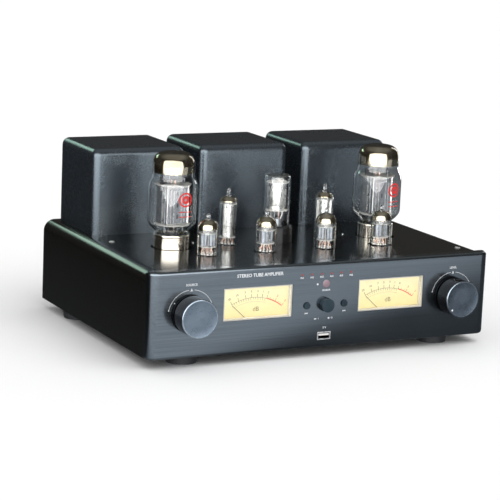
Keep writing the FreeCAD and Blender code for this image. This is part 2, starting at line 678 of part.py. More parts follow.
def transformer_core(middle):
    """Laminated core: a frame with a middle leg twice as wide as the outer ones."""
    core = block(centred(middle, "Dims.core_width"), centred(COVER_MIDDLE, "Dims.core_depth"),
                 (PLATE, f"{PLATE} + Dims.core_height"))
    window_z = (f"{PLATE} + Dims.core_leg", f"{PLATE} + Dims.core_height - Dims.core_leg")
    bolt_hole_depth = 11
    cutters = []
    for side in (-1, 1):
        near = f"{middle} + {side} * Dims.core_leg"
        far = f"{middle} + {side} * (Dims.core_width / 2 - Dims.core_leg)"
        low, high = sorted((near, far), key=number)
        cutters.append(block((low, high), centred(COVER_MIDDLE, f"Dims.core_depth + {2 * PAST}"), window_z))
    for x, y in core_bolt_places(middle):
        cutters.append(rod("Dims.core_bolt + 0.1", f"{bolt_hole_depth} + {PAST}", x, y, f"{PLATE} - {PAST}"))
    return cut(core, cutters)


def transformer_winding(middle):
    """Coil round the middle leg, standing out of the core at the front and back."""
    z = (f"{PLATE} + Dims.core_leg + 0.5", f"{PLATE} + Dims.core_height - Dims.core_leg - 0.5")
    outer = block(centred(middle, "Dims.core_width - 2 * Dims.core_leg - 1"),
                  centred(COVER_MIDDLE, "Dims.winding_depth"), z)
    leg = block(centred(middle, "2 * Dims.core_leg + 1"), centred(COVER_MIDDLE, "Dims.core_depth + 1"),
                (PLATE, f"{PLATE} + Dims.core_height"))
    return cut(outer, [leg])


def transformer_bolt(x, y):
    head_height = 3
    length = 14
    shank = rod("Dims.core_bolt", length, x, y, f"{PLATE_UNDER} - {head_height}")
    head = rod("Dims.screw_head", head_height, x, y, f"{PLATE_UNDER} - {head_height}")
    return fuse([shank, head])


def transformers():
    node(group([transformer_core(middle) for middle in COVER_PLACES]), "transformer_cores")
    node(group([transformer_winding(middle) for middle in COVER_PLACES]), "transformer_windings")
    bolts = [transformer_bolt(x, y) for middle in COVER_PLACES for x, y in core_bolt_places(middle)]
    node(group(bolts), "transformer_bolts")


# ---------------------------------------------------------------- tubes
def hollow_glass(make_form):
    """Glass shell: the outer form less the same form one wall smaller."""
    return cut(make_form("0"), [make_form("Dims.glass_wall")])


def power_form(inset, x):
    """The stepped form of a power tube, everywhere smaller by the inset."""
    top = f"(Dims.power_height - {inset})"
    low = f"(Dims.power_base_top - Dims.glass_seat + 2 * {inset})"
    bulb, neck = f"(Dims.power_bulb - {inset})", f"(Dims.power_neck - {inset})"
    throat = f"(Dims.power_throat - {inset})"
    corners = [
        ("0", low), (throat, low), (throat, f"Dims.power_base_top + Dims.slack + {inset} / 2"),
        (bulb, f"Dims.bulb_low + {inset} / 2"), (bulb, f"Dims.bulb_high - {inset} / 2"),
        (neck, f"Dims.neck_low - {inset} / 2"), (neck, top), ("0", top),
    ]
    form = turned("power_form", corners, x, REAR_ROW, PLATE)
    round_edges(form, f"Dims.dome_edge - {inset}", ring_edges(neck, top))
    return form


def octal_base(radius, top_corners, seat, x):
    """A turned octal base: locating key, skirt, the corners of its rim and eight pins."""
    drop = "(-Dims.base_drop)"
    key_foot = f"{drop} - Dims.key_length"
    corners = [("0", key_foot), ("Dims.key_radius", key_foot), ("Dims.key_radius", drop), (radius, drop)]
    corners += top_corners + [("0", seat)]
    shell = turned("base", corners, x, REAR_ROW, PLATE)
    pin_foot = f"{PLATE} + {drop} - Dims.octal_pin_length"
    pins = octal_pins("Dims.octal_pin", "Dims.octal_pin_length", pin_foot, x)
    return fuse([shell] + pins)


def power_tube(side, x):
    """Stepped bulb on a metal-skirted octal base, with its electrodes inside."""
    node(hollow_glass(lambda inset: power_form(inset, x)), f"power_tube_{side}_glass")

    base, top = "Dims.power_base", "Dims.power_base_top"
    seat = "Dims.power_base_top - Dims.glass_seat - Dims.slack"
    rim = "Dims.power_throat + 0.4"
    node(octal_base(base, [(base, top), (rim, top), (rim, seat)], seat, x), f"power_tube_{side}_base")

    low = f"({PLATE} + Dims.anode_low)"
    high = f"({low} + Dims.anode_height)"
    spacer, spacer_radius = "0.8", "20"
    anode_width, anode_depth, can_radius = "40", "12", "9"
    stem_radius, stem_foot = "6", f"{PLATE} + Dims.power_base_top - 0.5"
    post_radius, post_length = "0.8", "20"
    getter_radius, getter_height = "8", "1.5"
    pieces = [
        rod(spacer_radius, spacer, x, REAR_ROW, f"{low} - {spacer} / 2"),
        rod(spacer_radius, spacer, x, REAR_ROW, f"{high} - {spacer} / 2"),
        block(centred(x, anode_width), centred(REAR_ROW, anode_depth), (low, high)),
        rod(can_radius, "Dims.anode_height", x, REAR_ROW, low),
        rod(stem_radius, f"{low} - ({stem_foot})", x, REAR_ROW, stem_foot),
        rod(post_radius, post_length, x, REAR_ROW, high),
        rod(getter_radius, getter_height, x, REAR_ROW, f"{high} + {post_length} - {getter_height}"),
    ]
    node(fuse(pieces), f"power_tube_{side}_electrodes")


def octal_pins(radius, length, z, x):
    """Eight pins evenly spaced on the octal circle."""
    pins = []
    for step in range(8):
        angle = 22.5 + 45 * step
        pins.append(rod(radius, length, f"{x} + Dims.octal_circle * cos({angle} deg)",
                        f"{REAR_ROW} + Dims.octal_circle * sin({angle} deg)", z))
    return pins


def nine_pins(radius, length, z, x, y):
    """Nine pins on their circle, with the gap of the missing tenth."""
    pins = []
    for step in range(9):
        angle = 36 * (step + 0.5)
        pins.append(rod(radius, length, f"{x} + Dims.nine_circle * cos({angle} deg)",
                        f"{y} + Dims.nine_circle * sin({angle} deg)", z))
    return pins


def rectifier_form(inset):
    top = f"(Dims.rectifier_height - {inset})"
    glass = f"(Dims.rectifier_glass - {inset})"
    low = f"(Dims.rectifier_base_top - Dims.glass_seat + 2 * {inset})"
    corners = [("0", low), (glass, low), (glass, top), ("0", top)]
    form = turned("rectifier_form", corners, "0", REAR_ROW, PLATE)
    round_edges(form, f"Dims.rectifier_edge - {inset}", ring_edges(glass, top))
    return form


def rectifier():
    """Straight-sided octal rectifier with a black base and one round anode."""
    node(hollow_glass(rectifier_form), "rectifier_glass")

    base, rim = "Dims.rectifier_base", "Dims.rectifier_base_top"
    inner = "Dims.rectifier_glass + 0.2"
    chamfer = 2
    seat = f"{rim} - Dims.glass_seat - Dims.slack"
    top_corners = [(base, f"{rim} - {chamfer}"), (f"{base} - {chamfer}", rim), (inner, rim), (inner, seat)]
    node(octal_base(base, top_corners, seat, "0"), "rectifier_base")

    anode_foot = f"({PLATE} + Dims.rectifier_anode_low)"
    anode_top = f"{anode_foot} + Dims.rectifier_anode_height"
    stem_radius, stem_foot = "4", f"({PLATE} + Dims.rectifier_base_top - 1.5)"
    spacer, spacer_radius = "0.8", "12"
    pieces = [
        rod("Dims.rectifier_anode", "Dims.rectifier_anode_height", "0", REAR_ROW, anode_foot),
        rod(stem_radius, f"{anode_foot} - {stem_foot} + 0.5", "0", REAR_ROW, stem_foot),
        rod(spacer_radius, spacer, "0", REAR_ROW, f"{anode_top} - 0.3"),
    ]
    node(fuse(pieces), "rectifier_electrodes")


def miniature_glass(name, radius, height, tip, x, y):
    """All-glass miniature tube with a domed top and a drawn-off tip."""
    wall, low = "Dims.glass_wall", "(-Dims.glass_drop)"
    shoulder = f"({height} - {radius} * 0.55)"
    floor = f"{low} + 3 * {wall}"
    outside = [
        ("0", low), (radius, low), (radius, shoulder), (f"{radius} * 0.8", f"{height} - {radius} * 0.2"),
        ("2 * Dims.tip_radius", height), ("Dims.tip_radius", f"{height} + {tip} * 0.4"),
        ("Dims.tip_radius / 3", f"{height} + {tip}"), ("0", f"{height} + {tip}"),
    ]
    inside = [
        ("0", f"{height} - {wall}"), (f"{radius} * 0.68", f"{height} - {radius} * 0.3"),
        (f"{radius} - {wall}", f"{shoulder} - {wall} / 2"), (f"{radius} - {wall}", floor), ("0", floor),
    ]
    return node(turned(name, outside + inside, x, y, PLATE), name)


def miniature_inside(radius, low, high, can_radius, x, y):
    """Electrode stack between two mica discs, and the nine pins under the glass."""
    spacer = 0.6
    reach = f"{radius} - Dims.glass_wall - 0.4"
    low_mica, high_mica = f"({PLATE} + {low} - {spacer})", f"({PLATE} + {high})"
    stem_radius, stem_foot = "3", f"({PLATE} - Dims.glass_drop + 3 * Dims.glass_wall + 0.3)"
    stack = [
        rod(reach, spacer, x, y, low_mica),
        rod(reach, spacer, x, y, high_mica),
        rod(can_radius, f"{high_mica} - {low_mica}", x, y, f"{low_mica} + {spacer} / 2"),
        rod(stem_radius, f"{low_mica} - {stem_foot} + {spacer} / 2", x, y, stem_foot),
    ]
    pins = nine_pins("Dims.nine_pin", "Dims.nine_pin_length",
                     f"{PLATE} - Dims.glass_drop - Dims.nine_pin_length", x, y)
    return [fuse(stack)] + pins


def miniature_tubes():
    inside = []
    for order, x in enumerate(SMALL_PLACES, start=1):
        miniature_glass(f"small_tube_{order}_glass", "Dims.small_radius", "Dims.small_height", "Dims.small_tip",
                        x, FRONT_ROW)
        inside += miniature_inside("Dims.small_radius", "Dims.small_anode_low", "Dims.small_anode_high",
                                   "Dims.small_can", x, FRONT_ROW)
    for side, x in zip(("left", "right"), TALL_PLACES):
        miniature_glass(f"tall_tube_{side}_glass", "Dims.tall_radius", "Dims.tall_height", "Dims.tall_tip",
                        x, REAR_ROW)
        inside += miniature_inside("Dims.tall_radius", "Dims.tall_anode_low", "Dims.tall_anode_high",
                                   "Dims.tall_can", x, REAR_ROW)
    node(group(inside), "small_tube_electrodes")


def octal_socket(x):
    """Moulded socket that stands on the board under an octal base."""
    below_base = 0.2
    pin_room = 0.2
    top = f"({PLATE} - Dims.base_drop - {below_base})"
    body = rod("Dims.octal_socket", f"{top} - {BOARD_TOP}", x, REAR_ROW, BOARD_TOP)
    key = rod("Dims.key_radius + 0.3", DRILL_BELOW, x, REAR_ROW, f"{top} - Dims.key_length - 0.5")
    pins = octal_pins(f"Dims.octal_pin + {pin_room}", DRILL_BELOW, f"{top} - Dims.octal_pin_length - 0.5", x)
    return cut(body, [key] + pins)


def miniature_socket(x, y):
    """Ceramic socket on a stand, under a nine-pin tube."""
    below_glass = 0.2
    top = f"({PLATE} - Dims.glass_drop - {below_glass})"
    foot = f"({top} - Dims.nine_socket_height)"
    body = rod("Dims.nine_socket", "Dims.nine_socket_height", x, y, foot)
    stand = rod("Dims.nine_socket - 3", f"{foot} - {BOARD_TOP}", x, y, BOARD_TOP)
    holes = nine_pins("Dims.nine_pin + 0.15", DRILL_BELOW, f"{top} - Dims.nine_pin_length - {PAST}", x, y)
    return cut(fuse([body, stand]), holes)


def sockets():
    node(group([octal_socket(x) for x in OCTAL_PLACES]), "octal_sockets")
    small = [miniature_socket(x, FRONT_ROW) for x in SMALL_PLACES]
    small += [miniature_socket(x, REAR_ROW) for x in TALL_PLACES]
    node(group(small), "miniature_sockets")


# ---------------------------------------------------------------- controls
def knob_assembly(name, x, device):
    """Knob, shaft and the device behind the front flange that the shaft turns in."""
    length, radius = "Dims.knob_length", "Dims.knob_radius"
    foot = f"{radius} - Dims.knob_step"
    face = f"{radius} - Dims.knob_chamfer"
    bore = "Dims.shaft_radius + 0.02"
    corners = [
        (bore, "0"), (foot, "0"), (foot, "2"), (radius, "2 + Dims.knob_step / 2"),
        (radius, f"{length} - Dims.knob_chamfer"), (face, length), ("0", length),
        ("0", "Dims.knob_bore"), (bore, "Dims.knob_bore"),
    ]
    knob_back = "Dims.front_y - Dims.knob_gap"
    node(turned(f"{name}_knob", corners, x, knob_back, CONTROL_Z, "front"), f"{name}_knob")

    shaft_back = f"({FLANGE_BACK} + Dims.device_depth - 6)"
    shaft_front = f"({knob_back} - Dims.knob_bore + 0.5)"
    node(rod("Dims.shaft_radius", f"{shaft_back} - {shaft_front}", x, shaft_front, CONTROL_Z, "back"),
         f"{name}_shaft")

    bush_front = f"({PANEL_BACK} - Dims.bush_length)"
    case = rod("Dims.device_radius", "Dims.device_depth", x, FLANGE_BACK, CONTROL_Z, "back")
    bush = rod("Dims.bush_radius", f"{FLANGE_BACK} - {bush_front}", x, bush_front, CONTROL_Z, "back")
    bore_front = f"({bush_front} - {PAST})"
    bore = rod("Dims.shaft_radius + Dims.running_gap", f"{shaft_back} - {bore_front}", x, bore_front,
               CONTROL_Z, "back")
    nut_height = 2.5
    nut = rod("Dims.bush_radius + 2.1", nut_height, x, f"{PANEL_BACK} - {nut_height}", CONTROL_Z, "back")
    thread = rod("Dims.bush_radius", f"{nut_height} + {2 * PAST}", x, f"{PANEL_BACK} - {nut_height} - {PAST}",
                 CONTROL_Z, "back")
    node(group([cut(fuse([case, bush]), [bore]), cut(nut, [thread])]), device)


def push_button(name, x, radius, out, travel):
    """A button that slides in the panel and presses on the switch behind it."""
    start = f"(Dims.front_y - {out})"
    stem_radius = 1.5
    cap = rod(radius, f"{PANEL_BACK} - {start}", x, start, CONTROL_Z, "back")
    stem = rod(stem_radius, f"{SWITCH_FRONT} - {PANEL_BACK} - 0.2", x, PANEL_BACK, CONTROL_Z, "back")
    node(fuse([cap, stem]), name)
    width = f"2 * {radius} + 1"
    body = block(centred(x, width), (SWITCH_FRONT, f"{SWITCH_FRONT} + Dims.switch_depth"),
                 centred(CONTROL_Z, width))
    well = rod(f"{stem_radius} + Dims.slack", f"{travel} + {PAST}", x, f"{SWITCH_FRONT} - {PAST} / 2",
               CONTROL_Z, "back")
    return cut(body, [well])


def controls():
    knob_assembly("selector", "(-Dims.knob_x)", "selector_encoder")
    knob_assembly("volume", "Dims.knob_x", "volume_potentiometer")
    small = ("Dims.small_button_radius", "Dims.small_button_out", "Dims.small_travel")
    power = ("Dims.power_button_radius", "Dims.power_button_out", "Dims.power_travel")
    switches = [
        push_button("power_button", "0", *power),
        push_button("button_left", "(-Dims.small_button_x)", *small),
        push_button("button_right", "Dims.small_button_x", *small),
    ]
    node(group(switches), "button_switches")


def lamps():
    """Light pipes of the lamp row and of the stand-by lamp, and the remote-control lens."""
    proud = 0.2
    behind_panel = 14
    pieces = []
    for x, z in [(x, LAMP_Z) for x in LAMP_PLACES] + [("Dims.standby_x", LENS_Z)]:
        pieces.append(rod("Dims.lamp_radius - Dims.running_gap", f"Dims.panel_thickness + {behind_panel}",
                          x, f"Dims.front_y - {proud}", z, "back"))
    node(group(pieces), "indicator_lamps")
    edge = "Dims.lens_radius - Dims.running_gap"
    lens = [("0", "0"), (edge, "0"), (edge, "Dims.panel_thickness"),
            ("Dims.lens_radius - 1", "Dims.panel_thickness + 0.4"), ("0", "Dims.panel_thickness + 0.6")]
    node(turned("remote_lens", lens, "0", PANEL_BACK, LENS_Z, "front"), "remote_lens")


def usb_socket():
    """Metal shell round a flat tongue."""
    front = "(Dims.front_y + 0.2)"
    back = f"({front} + Dims.usb_depth)"
    wall = 1.3
    shell = block(centred("0", "Dims.usb_width"), (front, back), centred(USB_Z, "Dims.usb_height"))
    mouth = block(centred("0", f"Dims.usb_width - 2 * {wall}"), (f"{front} - {PAST}", f"{back} - 1.5"),
                  centred(USB_Z, f"Dims.usb_height - 2.2 * {wall}"))
    tongue = block(centred("0", f"Dims.usb_width - 3 * {wall}"), (f"{front} + 1.5", f"{back} - 1"),
                   (f"{USB_Z} + 0.3", f"{USB_Z} + 2.2"))
    node(group([cut(shell, [mouth]), tongue]), "usb_socket")


# ---------------------------------------------------------------- meters
def meter_case(x):
    """Case with a light liner that reaches forward into the panel's window, and the movement inside."""
    low, high = f"{BASE} + Dims.meter_low", f"{BASE} + Dims.meter_high"
    back = f"({METER_FACE} + Dims.meter_depth)"
    wall, liner_wall = "Dims.case_wall", "Dims.liner_wall"
    liner_front = "(Dims.front_y + 0.6)"
    liner_x = "Dims.window_width - 2 * Dims.liner_gap"
    liner_z = "Dims.window_height - 2 * Dims.liner_gap"
    case = block(centred(x, "Dims.meter_width"), (METER_FACE, back), (low, high))
    face_back = f"{METER_FACE} + {liner_wall}"
    liner = block(centred(x, liner_x), (liner_front, face_back), centred(WINDOW_Z, liner_z))
    cavity = block(centred(x, f"Dims.meter_width - 2 * {wall}"), (face_back, f"{back} - {wall}"),
                   (f"{low} + {wall}", f"{high} - {wall}"))
    view = block(centred(x, f"{liner_x} - 2 * {liner_wall}"), (f"{liner_front} - {PAST}", f"{METER_FACE} + 2"),
                 centred(WINDOW_Z, f"{liner_z} - 2 * {liner_wall}"))
    movement = rod("4.5", "10", x, f"{METER_FACE} + 7", PIVOT_Z, "back")
    bearing = rod("1", "6", x, f"{METER_FACE} + 6", PIVOT_Z, "back")
    return group([cut(fuse([case, liner]), [cavity, view]), cut(movement, [bearing])])


def meter_dial(x):
    """Card in the case, with a hole for the needle's spindle."""
    clear = "Dims.case_wall + Dims.slack"
    face, sheet = f"({METER_FACE} + 3.8)", 0.8
    plate = block(centred(x, f"Dims.meter_width - 2 * ({clear})"), (face, f"{face} + {sheet}"),
                  (f"{BASE} + Dims.meter_low + {clear}", f"{BASE} + Dims.meter_high - ({clear})"))
    return cut(plate, [rod("1.6", f"{sheet} + {2 * PAST}", x, f"{face} - {PAST}", PIVOT_Z, "back")])


def meter_window(x):
    """Clear pane inside the liner."""
    front, sheet = "(Dims.front_y + 1.2)", 1.2
    less = "2 * (Dims.liner_gap + Dims.liner_wall + 0.1)"
    return block(centred(x, f"Dims.window_width - {less}"), (front, f"{front} + {sheet}"),
                 centred(WINDOW_Z, f"Dims.window_height - {less}"))


def meter_needle(side, x):
    """Hub on a fine spindle with a thin pointer and a short tail, leaning left at rest."""
    face = f"({METER_FACE} + 2)"
    tail, width, lean = "Dims.needle_tail", "Dims.needle_width", "Dims.needle_rest * 1 deg"
    hub = rod("Dims.hub_radius", "1", x, f"{face} - 0.2", PIVOT_Z, "back")
    spindle = rod("0.9", "9", x, face, PIVOT_Z, "back")
    pointer = doc.addObject("Part::Box", "pointer")
    bind(pointer, Length=width, Width=width, Height=f"Dims.needle_length + {tail}")
    pointer.Placement = FreeCAD.Placement(FreeCAD.Vector(), FreeCAD.Rotation(FreeCAD.Vector(0, -1, 0), 1))
    bind(pointer, Placement__Rotation__Angle="Dims.needle_rest")
    place(pointer, f"{x} + {tail} * sin({lean}) - {width} / 2 * cos({lean})", face,
          f"{PIVOT_Z} - {tail} * cos({lean}) - {width} / 2 * sin({lean})")
    node(fuse([hub, spindle, pointer]), f"meter_needle_{side}")


def meters():
    places = (("left", "(-Dims.window_x)"), ("right", "Dims.window_x"))
    for side, x in places:
        node(meter_case(x), f"meter_case_{side}")
        meter_needle(side, x)
    node(group([meter_dial(x) for side, x in places]), "meter_dials")
    node(group([meter_window(x) for side, x in places]), "meter_windows")


# ---------------------------------------------------------------- inside and rear
def circuit_boards():
    """Main board under the top plate, and a small board behind the switches."""
    board = block(("-150", "150"), (f"{FRONT_ROW} - 22", f"{REAR_ROW} + 34"),
                  (f"{BOARD_TOP} - Dims.board_sheet", BOARD_TOP))
    key_hole = "Dims.key_radius + 0.5"
    holes = [rod(key_hole, "Dims.board_sheet + 2.4", x, REAR_ROW, f"{BOARD_TOP} - 3") for x in OCTAL_PLACES]
    switch_back = f"({SWITCH_FRONT} + Dims.switch_depth)"
    front_board = block(("-34", "34"), (switch_back, f"{switch_back} + Dims.board_sheet"),
                        (f"{BASE} + 5", f"{BASE} + 70"))
    node(group([cut(board, holes), front_board]), "circuit_boards")


def filter_capacitors():
    """Four cans in a row on the tray."""
    pitch, radius, height = 50, "12.5", "45"
    cans = []
    for step in (-1.5, -0.5, 0.5, 1.5):
        cans.append(rod(radius, height, f"{step * pitch}", f"{REAR_ROW} + 14", f"{BASE} + Dims.sheet"))
    node(group(cans), "filter_capacitors")


def mains_inlet():
    """Flanged inlet with a three-pin well."""
    back = REAR_PANEL_BACK
    flange_margin = 3.5
    wall = "(1.5 + 0.2)"
    flange = block(centred(INLET_X, f"Dims.inlet_width + 2 * {flange_margin}"), (back, f"{back} + 2"),
                   centred(INLET_Z, f"Dims.inlet_height + 2 * {flange_margin} - 1"))
    body = block(centred(INLET_X, "Dims.inlet_width - 0.4"), (f"{back} - 20", f"{back} + {PAST}"),
                 centred(INLET_Z, "Dims.inlet_height - 0.4"))
    well = block(centred(INLET_X, f"Dims.inlet_width - 2 * {wall} + 0.4"), (f"{back} - 14", f"{back} + 3"),
                 centred(INLET_Z, f"Dims.inlet_height - 2 * {wall}"))
    blade_places = ((-7, -2), (7, -2), (0, 3))

    def blades():
        blade_y = (f"{back} - 17", f"{back} - 0.5")
        return [block(centred(x, "2"), blade_y, centred(f"({INLET_Z} + {z})", "4")) for x, z in blade_places]

    node(group([cut(fuse([flange, body]), [well] + blades())] + blades()), "mains_inlet")


def speaker_terminals():
    """Drilled posts through the rear panel, each with a clamping cap that turns on it."""
    posts = []
    post, end = "Dims.post_radius", f"({REAR} + Dims.terminal_length)"
    start = f"({REAR_PANEL_FRONT} - 8)"
    washer_height, nut_height, bore_depth = 3, 3, 15
    cap_start = f"({REAR_PANEL_BACK} + {washer_height} + Dims.slack)"
    length = f"({end} - 1.5 - {cap_start})"
    bore_radius = f"{post} + Dims.running_gap"
    corners = [(bore_radius, "0"), ("Dims.cap_radius", "0"), ("Dims.cap_radius", f"{length} - 1"),
               ("Dims.cap_radius - 1", length), (bore_radius, length)]
    nut_front = f"{REAR_PANEL_FRONT} - {nut_height}"
    for count, x in enumerate(TERMINAL_PLACES, start=1):
        solid = [rod("Dims.cap_radius + 1", washer_height, x, REAR_PANEL_BACK, TERMINAL_Z, "back"),
                 rod(post, f"{end} - {start}", x, start, TERMINAL_Z, "back"),
                 rod("Dims.cap_radius - 1", nut_height, x, nut_front, TERMINAL_Z, "back")]
        bore = rod("Dims.plug_bore", f"{bore_depth} + {PAST}", x, f"{end} - {bore_depth}", TERMINAL_Z, "back")
        posts.append(cut(fuse(solid), [bore]))
        node(turned("cap", corners, x, cap_start, TERMINAL_Z, "back"), f"terminal_cap_{count}")
    node(group(posts), "terminal_posts")


def phono_jacks():
    """Sleeves with a bore for the plug's pin, collars outside and solder tails inside."""
    collar_radius, collar_height = "6.2", "1.5"
    bore_radius, bore_depth = "1.65", 8
    bore_front = f"{REAR_PANEL_BACK} + Dims.jack_length - {bore_depth}"
    pieces = []
    for x, z in JACK_PLACES:
        sleeve = rod("Dims.jack_radius", "Dims.jack_length", x, REAR_PANEL_BACK, z, "back")
        collar = rod(collar_radius, collar_height, x, REAR_PANEL_BACK, z, "back")
        tail = rod("Dims.jack_tail", "9", x, f"{REAR_PANEL_FRONT} - 7", z, "back")
        bore = rod(bore_radius, f"{bore_depth} + {PAST}", x, bore_front, z, "back")
        pieces.append(cut(fuse([sleeve, collar, tail]), [bore]))
    node(group(pieces), "phono_jacks")


# ---------------------------------------------------------------- build, check and write
front_panel()
chassis_shell()
bottom_tray()
rear_panel()
feet()
top_screws()
bias_points()
transformer_covers()
transformers()
power_tube("left", "(-Dims.power_x)")
power_tube("right", "Dims.power_x")
rectifier()
miniature_tubes()
sockets()
controls()
lamps()
usb_socket()
meters()
circuit_boards()
filter_capacitors()
mains_inlet()
speaker_terminals()
phono_jacks()
doc.recompute()

for item in doc.Objects:
    if "Invalid" in item.State or "Error" in item.State:
        raise ValueError(f"{item.Label} is {item.State}")
for item in nodes:
    if item.Shape.isNull() or not item.Shape.isValid():
        raise ValueError(f"{item.Label} has no valid shape")
    if not item.Shape.Solids:
        raise ValueError(f"{item.Label} has no solid")

os.makedirs("parts", exist_ok=True)
for item in nodes:
    item.Shape.exportStep(f"parts/{item.Label}.step")
print(len(nodes), "nodes written")
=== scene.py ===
"""Looks of a stereo tube amplifier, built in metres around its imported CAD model."""

import json
import math

import bmesh
import bpy
from mathutils import Matrix, Vector


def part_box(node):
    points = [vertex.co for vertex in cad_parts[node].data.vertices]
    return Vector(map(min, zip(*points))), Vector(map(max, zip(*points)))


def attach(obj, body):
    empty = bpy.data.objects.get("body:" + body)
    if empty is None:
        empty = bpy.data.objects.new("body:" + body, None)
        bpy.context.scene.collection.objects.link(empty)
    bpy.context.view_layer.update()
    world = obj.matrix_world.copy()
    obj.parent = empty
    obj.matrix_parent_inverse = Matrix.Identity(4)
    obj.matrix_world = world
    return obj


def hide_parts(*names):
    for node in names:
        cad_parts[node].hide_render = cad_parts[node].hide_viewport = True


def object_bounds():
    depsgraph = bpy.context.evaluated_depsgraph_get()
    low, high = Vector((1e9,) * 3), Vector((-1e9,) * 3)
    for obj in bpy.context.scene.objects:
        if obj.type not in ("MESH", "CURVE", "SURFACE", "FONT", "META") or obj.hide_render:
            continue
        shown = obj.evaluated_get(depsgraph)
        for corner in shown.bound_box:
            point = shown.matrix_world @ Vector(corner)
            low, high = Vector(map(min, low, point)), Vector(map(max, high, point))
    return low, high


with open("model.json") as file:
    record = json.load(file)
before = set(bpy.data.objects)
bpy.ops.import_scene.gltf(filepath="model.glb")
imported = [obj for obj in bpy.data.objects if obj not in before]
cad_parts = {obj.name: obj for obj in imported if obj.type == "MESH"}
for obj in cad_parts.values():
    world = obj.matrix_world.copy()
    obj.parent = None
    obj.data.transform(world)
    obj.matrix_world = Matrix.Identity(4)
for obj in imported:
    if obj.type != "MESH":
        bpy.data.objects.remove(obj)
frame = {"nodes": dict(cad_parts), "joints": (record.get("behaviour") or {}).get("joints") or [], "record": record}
CAD_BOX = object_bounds()
MM = 0.001

PANEL_LOW, PANEL_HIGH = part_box("front_panel")
PANEL_FACE = PANEL_LOW.y
PANEL_FOOT = PANEL_LOW.z
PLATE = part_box("chassis_shell")[1].z
JOINTS = {joint["name"]: joint for joint in frame["joints"]}
PAINT_PROUD = 0.03 * MM


def middle(node):
    """The middle of a CAD node's box."""
    low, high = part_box(node)
    return (low + high) / 2


def moved(place, x=0.0, y=0.0, z=0.0, turn=0.0):
    """The same place moved along its own axes in millimetres, then turned about its own Z in degrees."""
    return place @ Matrix.Translation((x * MM, y * MM, z * MM)) @ Matrix.Rotation(math.radians(turn), 4, "Z")


def standing(node, turn=0.0):
    """Places a form upright on the top plate, in the middle of a node's box and turned in degrees."""
    at = middle(node)
    return moved(Matrix.Translation((at.x, at.y, PLATE)), turn=turn)


def facing_front(x, y, z):
    """Places a flat form so that its face looks to the front and its own Y points up."""
    return Matrix.Translation((x, y, z)) @ Matrix.Rotation(math.radians(90), 4, "X")


def facing_rear(x, y, z):
    """Places a flat form so that its face looks to the rear and its own Y points up."""
    return Matrix.Translation((x, y, z)) @ Matrix.Rotation(math.pi, 4, "Z") @ Matrix.Rotation(math.radians(90), 4, "X")


# ---------------------------------------------------------------- meshes
ON_AXIS = 1e-6
SAME_POINT = 1e-7
CAPITAL_HEIGHT = 0.7


def prism_faces(count):
    """Sides and caps of two outlines of that many points, the second above the first."""
    sides = [[step, (step + 1) % count, count + (step + 1) % count, count + step] for step in range(count)]
    return sides + [list(range(count))[::-1], list(range(count, 2 * count))]


def new_object(name, data):
    """An object of that data, linked to the scene."""
    made = bpy.data.objects.new(name, data)
    bpy.context.scene.collection.objects.link(made)
    return made


